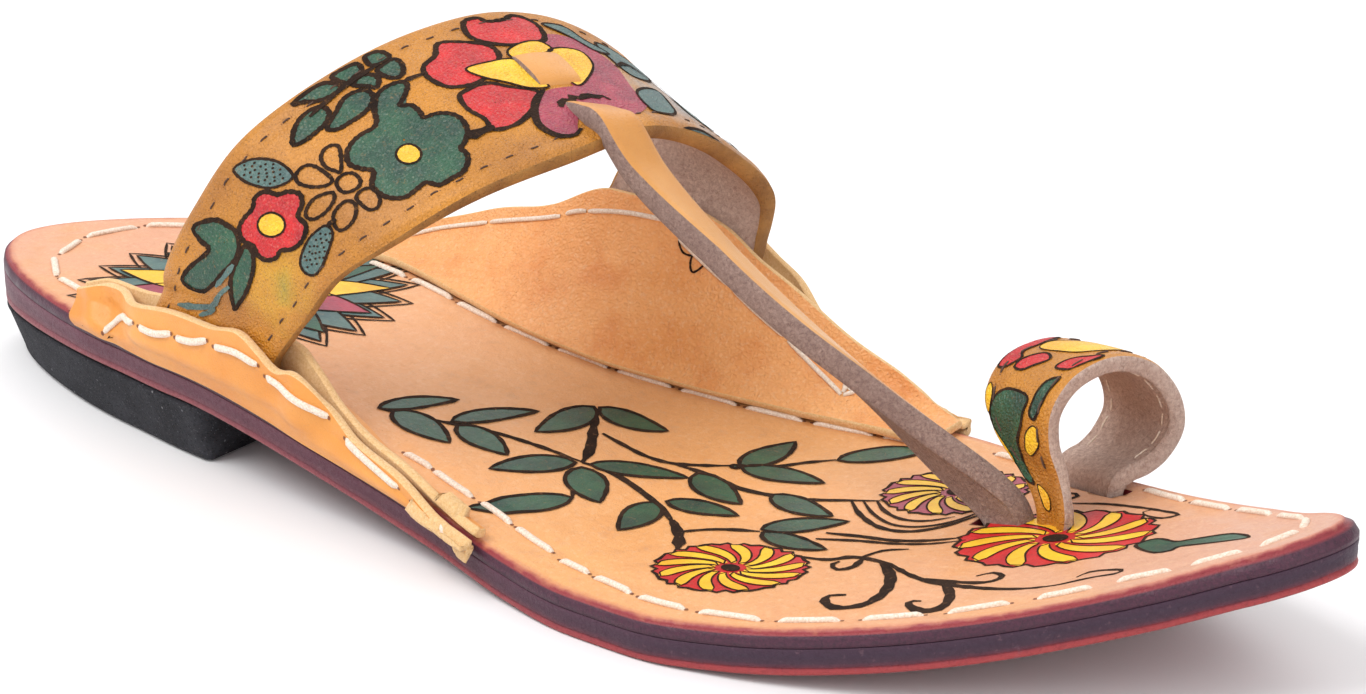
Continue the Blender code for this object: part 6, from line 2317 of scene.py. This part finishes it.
# ---- seams ---------------------------------------------------------------------------------
# Each stitch is the x, y of its points in turn: on the footbed in the shoe's frame, on a wing by
# the arc from its rear end and the distance up from its lower edge.
FOOTBED_STITCHES = (
    (113.2, -29.6, 119.2, -29.8), (119.8, -30.1, 129.2, -31.7), (131, -32, 138.6, -33.6),
    (139.8, -33.9, 149, -36.2), (151.6, -37.6, 157.9, -38.4), (159.4, -39, 167.3, -40.1),
    (168.9, -40.4, 177.3, -40), (179.5, -39.8, 189.5, -38), (191.8, -37.2, 200.5, -33.8),
    (203.2, -32.6, 211.1, -28.4), (214, -27.2, 221.3, -22), (224.2, -20, 230.6, -15.4),
    (233, -13.4, 239.7, -9.4), (241.6, -8, 247.4, -3.4), (248.8, -1.6, 252, 3.8),
    (249.6, 9.8, 251.6, 5.2), (213, 26.2, 222.6, 21.8), (224.2, 21, 232.8, 17.4),
    (234.4, 16.8, 242, 13.4), (243.4, 12.8, 249, 10.2), (181, 33.4, 190, 31.8),
    (191.8, 31.4, 200, 29.6), (61.1, 18.9, 70.9, 17.2), (72.5, 16.9, 82.6, 16),
    (84.2, 15.5, 93.4, 15.1), (95, 15, 104.2, 15.7), (105.8, 16, 115.2, 17.6),
    (116.8, 18, 126.1, 20.7), (127.6, 21.1, 137.1, 23.9), (138.5, 24.2, 148.2, 26.9),
    (149.8, 27.3, 160.2, 29.6), (161.8, 30, 171.2, 31), (11.4, -0.9, 14.6, 8.5),
    (15.2, 10, 21.6, 14.4), (23, 15.2, 32, 18.6), (33.6, 19.2, 43, 20.6), (44.8, 20.8, 54, 20),
    (14.3, -9.7, 11.8, -2.6), (14.9, -11.7, 21.6, -17.2), (23, -17.9, 32.5, -20.6),
    (34.4, -21.2, 40, -22.2))
LATERAL_STITCHES = (
    (10.2, 1.6, 16.4, 5.8, 22.6, 7.2),
    (24.3, 7.1, 28.6, 7, 32.8, 8.1),
    (34, 7.8, 38.2, 8.4, 42, 9.8),
    (43.8, 9.4, 49.6, 10.5, 54.8, 10.4),
    (56.4, 9, 63.4, 8.8, 70.6, 7.6),
    (74.8, 5.9, 81.2, 4.6, 87.6, 3.6),
    (91, 3, 96.4, 2.2, 100.6, 1.6))
MEDIAL_STITCHES = (
    (4.5, 4.8, 13.4, 9.5, 21.2, 13.1),
    (21.9, 13.4, 29.6, 16.4, 37.9, 19.6),
    (39, 20.3, 43.2, 21.9),
    (43.6, 22, 51.4, 24.2, 59.1, 25.2),
    (61.2, 22.6, 66.5, 19.5, 71.4, 16.9),
    (72.6, 16.3, 76.7, 14, 83, 11),
    (84, 10.4, 89.6, 7, 96.2, 3.4),
    (96.6, 3.4, 97.9, 4.4, 96.4, 5.4, 96.2, 3.8),
    (96.4, 4, 95.6, 6, 94.8, 7.9),
    (96.9, 4.4, 96.9, 6.4, 96.4, 8))
# Three petals drawn on the far wing's inner face, in the same way.
WING_FLOWER = (
    (61.4, 22.1, 62.2, 23, 64.2, 23.2, 65.3, 21.7, 64.3, 20.3, 62.5, 20.4),
    (64.3, 20.3, 65.3, 21.7, 66.8, 20.9, 66.4, 18.9, 65.1, 17.5, 64.3, 18.6),
    (62.2, 23.3, 62.8, 24.7, 64.2, 24.8, 65.5, 23.5, 64.9, 22.4, 64.1, 23.1))


def seam(length: float, start: float, pitch: float, dash: float,
         across: float) -> list[tuple[float, ...]]:
    """Even stitches along a strap."""
    return [(at, across, at + dash, across) for at in np.arange(start, length - dash, pitch)]


def beside(sheet: Sheet, far: bool, under: bool = False) -> Placer:
    """Reads a strap's face from one of its edges.

    Args:
        sheet: the strap.
        far: whether distances across start at its far edge.
        under: whether its inner face is read.

    Returns:
        The function that gives places.
    """
    def place(arc: Array, across: Array, lift: float) -> Array:
        """Places on that face."""
        width = np.interp(arc, sheet.arc, sheet.span[:, -1])
        return sheet.place(arc, width - across if far else across,
                           -sheet.thick - lift if under else lift)

    return place


def sew(palette: Palette, footbed: Footbed, wings: dict[Side, tuple[Sheet, Sheet]], band: Sheet,
        loop: Sheet) -> None:
    """Lays every seam.

    Args:
        palette: the finishes.
        footbed: the insole.
        wings: inner and outer sheet by side.
        band: the band's face.
        loop: the ring's face.
    """
    ThreadRun("footbed_stitches", 0.62, "insole_leather").build(
        footbed.place, FOOTBED_STITCHES, palette.thread, palette.dark)
    ThreadRun("lateral_wing_stitches", 0.62, "wing_leather").build(
        wings[Side.LATERAL][1].place, LATERAL_STITCHES, palette.thread, palette.dark)
    ThreadRun("medial_wing_thread", 0.42, "wing_leather", dip=0.2).build(
        wings[Side.MEDIAL][0].place, MEDIAL_STITCHES, palette.thread)
    brown, dark = palette.brown_thread, palette.dark
    for strap, sheet, under, radius, run, slot, thread, hole in (
            ("band", band, False, 0.17, (146.0, 4.0, 4.4, 1.6, 3.4), "strap_leather", brown, dark),
            ("loop", loop, False, 0.22, (68.0, 12.0, 4.6, 2.6, 2.4), "loop_leather", brown, dark),
            ("loop_inner", loop, True, 0.16, (70.0, 10.0, 4.6, 3.6, 2.4), "loop_leather",
             palette.thread, None)):
        for edge in ("rear", "front"):
            ThreadRun(f"{strap}_{edge}_stitches", radius, slot, dip=0.25, steps=8).build(
                beside(sheet, edge == "front", under), seam(*run), thread, hole)


# ---- studio --------------------------------------------------------------------------------
def placed(right: Array, up: Array, back: Array, place: Array) -> Matrix:
    """The matrix of an object with these axes at a place."""
    return Matrix([[right[k], up[k], back[k], place[k]] for k in range(3)] + [[0, 0, 0, 1]])


@dataclass(frozen=True)
class Camera:
    """The photograph's view of the shoe."""

    azimuth: float = 39.04
    elevation: float = 20.94
    roll: float = -1.06
    distance: float = 604.0
    focal: float = 3808.6
    target: tuple[float, float, float] = (135.1, 12.3, 25.0)
    centre: tuple[float, float] = (681.3, 326.9)
    size: tuple[int, int] = (1366, 694)
    sensor: float = 36.0

    def build(self) -> None:
        """Places the camera."""
        a, e, r = (math.radians(v) for v in (self.azimuth, self.elevation, self.roll))
        back = np.array([math.sin(a) * math.cos(e), -math.cos(a) * math.cos(e), math.sin(e)])
        right = np.array([math.cos(a), math.sin(a), 0.0])
        up = np.cross(back, right)
        turned = math.cos(r) * right + math.sin(r) * up
        raised = -math.sin(r) * right + math.cos(r) * up
        data = bpy.data.cameras.new("camera")
        data.sensor_width = self.sensor
        data.lens = self.focal / self.size[0] * self.sensor
        data.shift_x = (self.size[0] / 2 - self.centre[0]) / self.size[0]
        data.shift_y = (self.centre[1] - self.size[1] / 2) / self.size[0]
        data.dof.use_dof = False
        data.clip_start, data.clip_end = 0.01, 20.0
        made = bpy.data.objects.new("camera", data)
        place = to_row(np.array(self.target) + back * self.distance)
        made.matrix_world = placed(turned, raised, back, place)
        bpy.context.scene.collection.objects.link(made)
        bpy.context.scene.camera = made


@dataclass(frozen=True)
class Studio:
    """A white floor and soft lights."""

    floor: str = "#f4f3f4"
    sky: float = 0.75
    reach: float = 4000.0

    def build(self) -> None:
        """Makes floor, sky and lights."""
        g = Graph("studio_floor")
        white = g.finish(self.floor, 0.6, Specular_IOR_Level=0.2)
        pile = Pile()
        corners = np.array([(-1, -1, 0), (1, -1, 0), (1, 1, 0), (-1, 1, 0)])
        pile.add(corners * self.reach, np.array([(0, 1, 2, 3)]))
        floor = pile.make("floor", [white], flat=True)
        world = bpy.data.worlds.new("sky")
        world.use_nodes = True
        shade = world.node_tree.nodes["Background"]
        shade.inputs["Color"].default_value = linear("#ffffff")
        shade.inputs["Strength"].default_value = self.sky
        bpy.context.scene.world = world
        bpy.context.scene.view_settings.view_transform = "Standard"
        for name, place, aim, size, power in (
                ("key", (-0.35, -0.55, 1.0), (0.0, 0.0, 0.03), 0.7, 9.0),
                ("fill", (0.95, -0.35, 0.65), (0.0, 0.0, 0.03), 0.9, 3.0),
                ("back", (-0.3, 0.9, 0.9), (0.0, 0.0, 0.03), 1.0, 4.0)):
            light = bpy.data.lights.new(name, "AREA")
            light.size, light.energy = size, power
            lamp = bpy.data.objects.new(name, light)
            away = unit(np.array(place) - np.array(aim))
            side = unit(np.cross([0.0, 0.0, 1.0], away))
            top = np.cross(away, side)
            lamp.matrix_world = placed(side, top, away, place)
            bpy.context.scene.collection.objects.link(lamp)


def write_size() -> None:
    """Updates the view layer.
    """
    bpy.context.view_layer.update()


def main() -> None:
    """Dresses the sandal."""
    write_size()
    palette = Palette()
    footbed = Footbed(palette)
    footbed.build()
    Outsole(palette).build()
    HeelBlock(palette).build()
    wings = make_wings(palette)
    layers = {side: wing.build() for side, wing in wings.items()}
    upper = Upper(palette, wings)
    upper.build()
    ring = ToeLoop(palette).build()
    sew(palette, footbed, layers, upper.band_sheet, ring)
    FootbedPaint(footbed).build()
    StrapPaint(upper.band_sheet, "band_paint", "strap_leather").build(
        StrapPaint.BAND, StrapPaint.BAND_LINES, StrapPaint.DOTTED)
    StrapPaint(ring, "loop_paint", "loop_leather").build(StrapPaint.RING, edge=0.45)
    StrapPaint(layers[Side.MEDIAL][0], "wing_paint", "wing_leather").build(
        [(None, 0, points, None) for points in WING_FLOWER], edge=0.5)
    Camera().build()
    Studio().build()
    write_size()


if __name__ == "__main__":
    main()
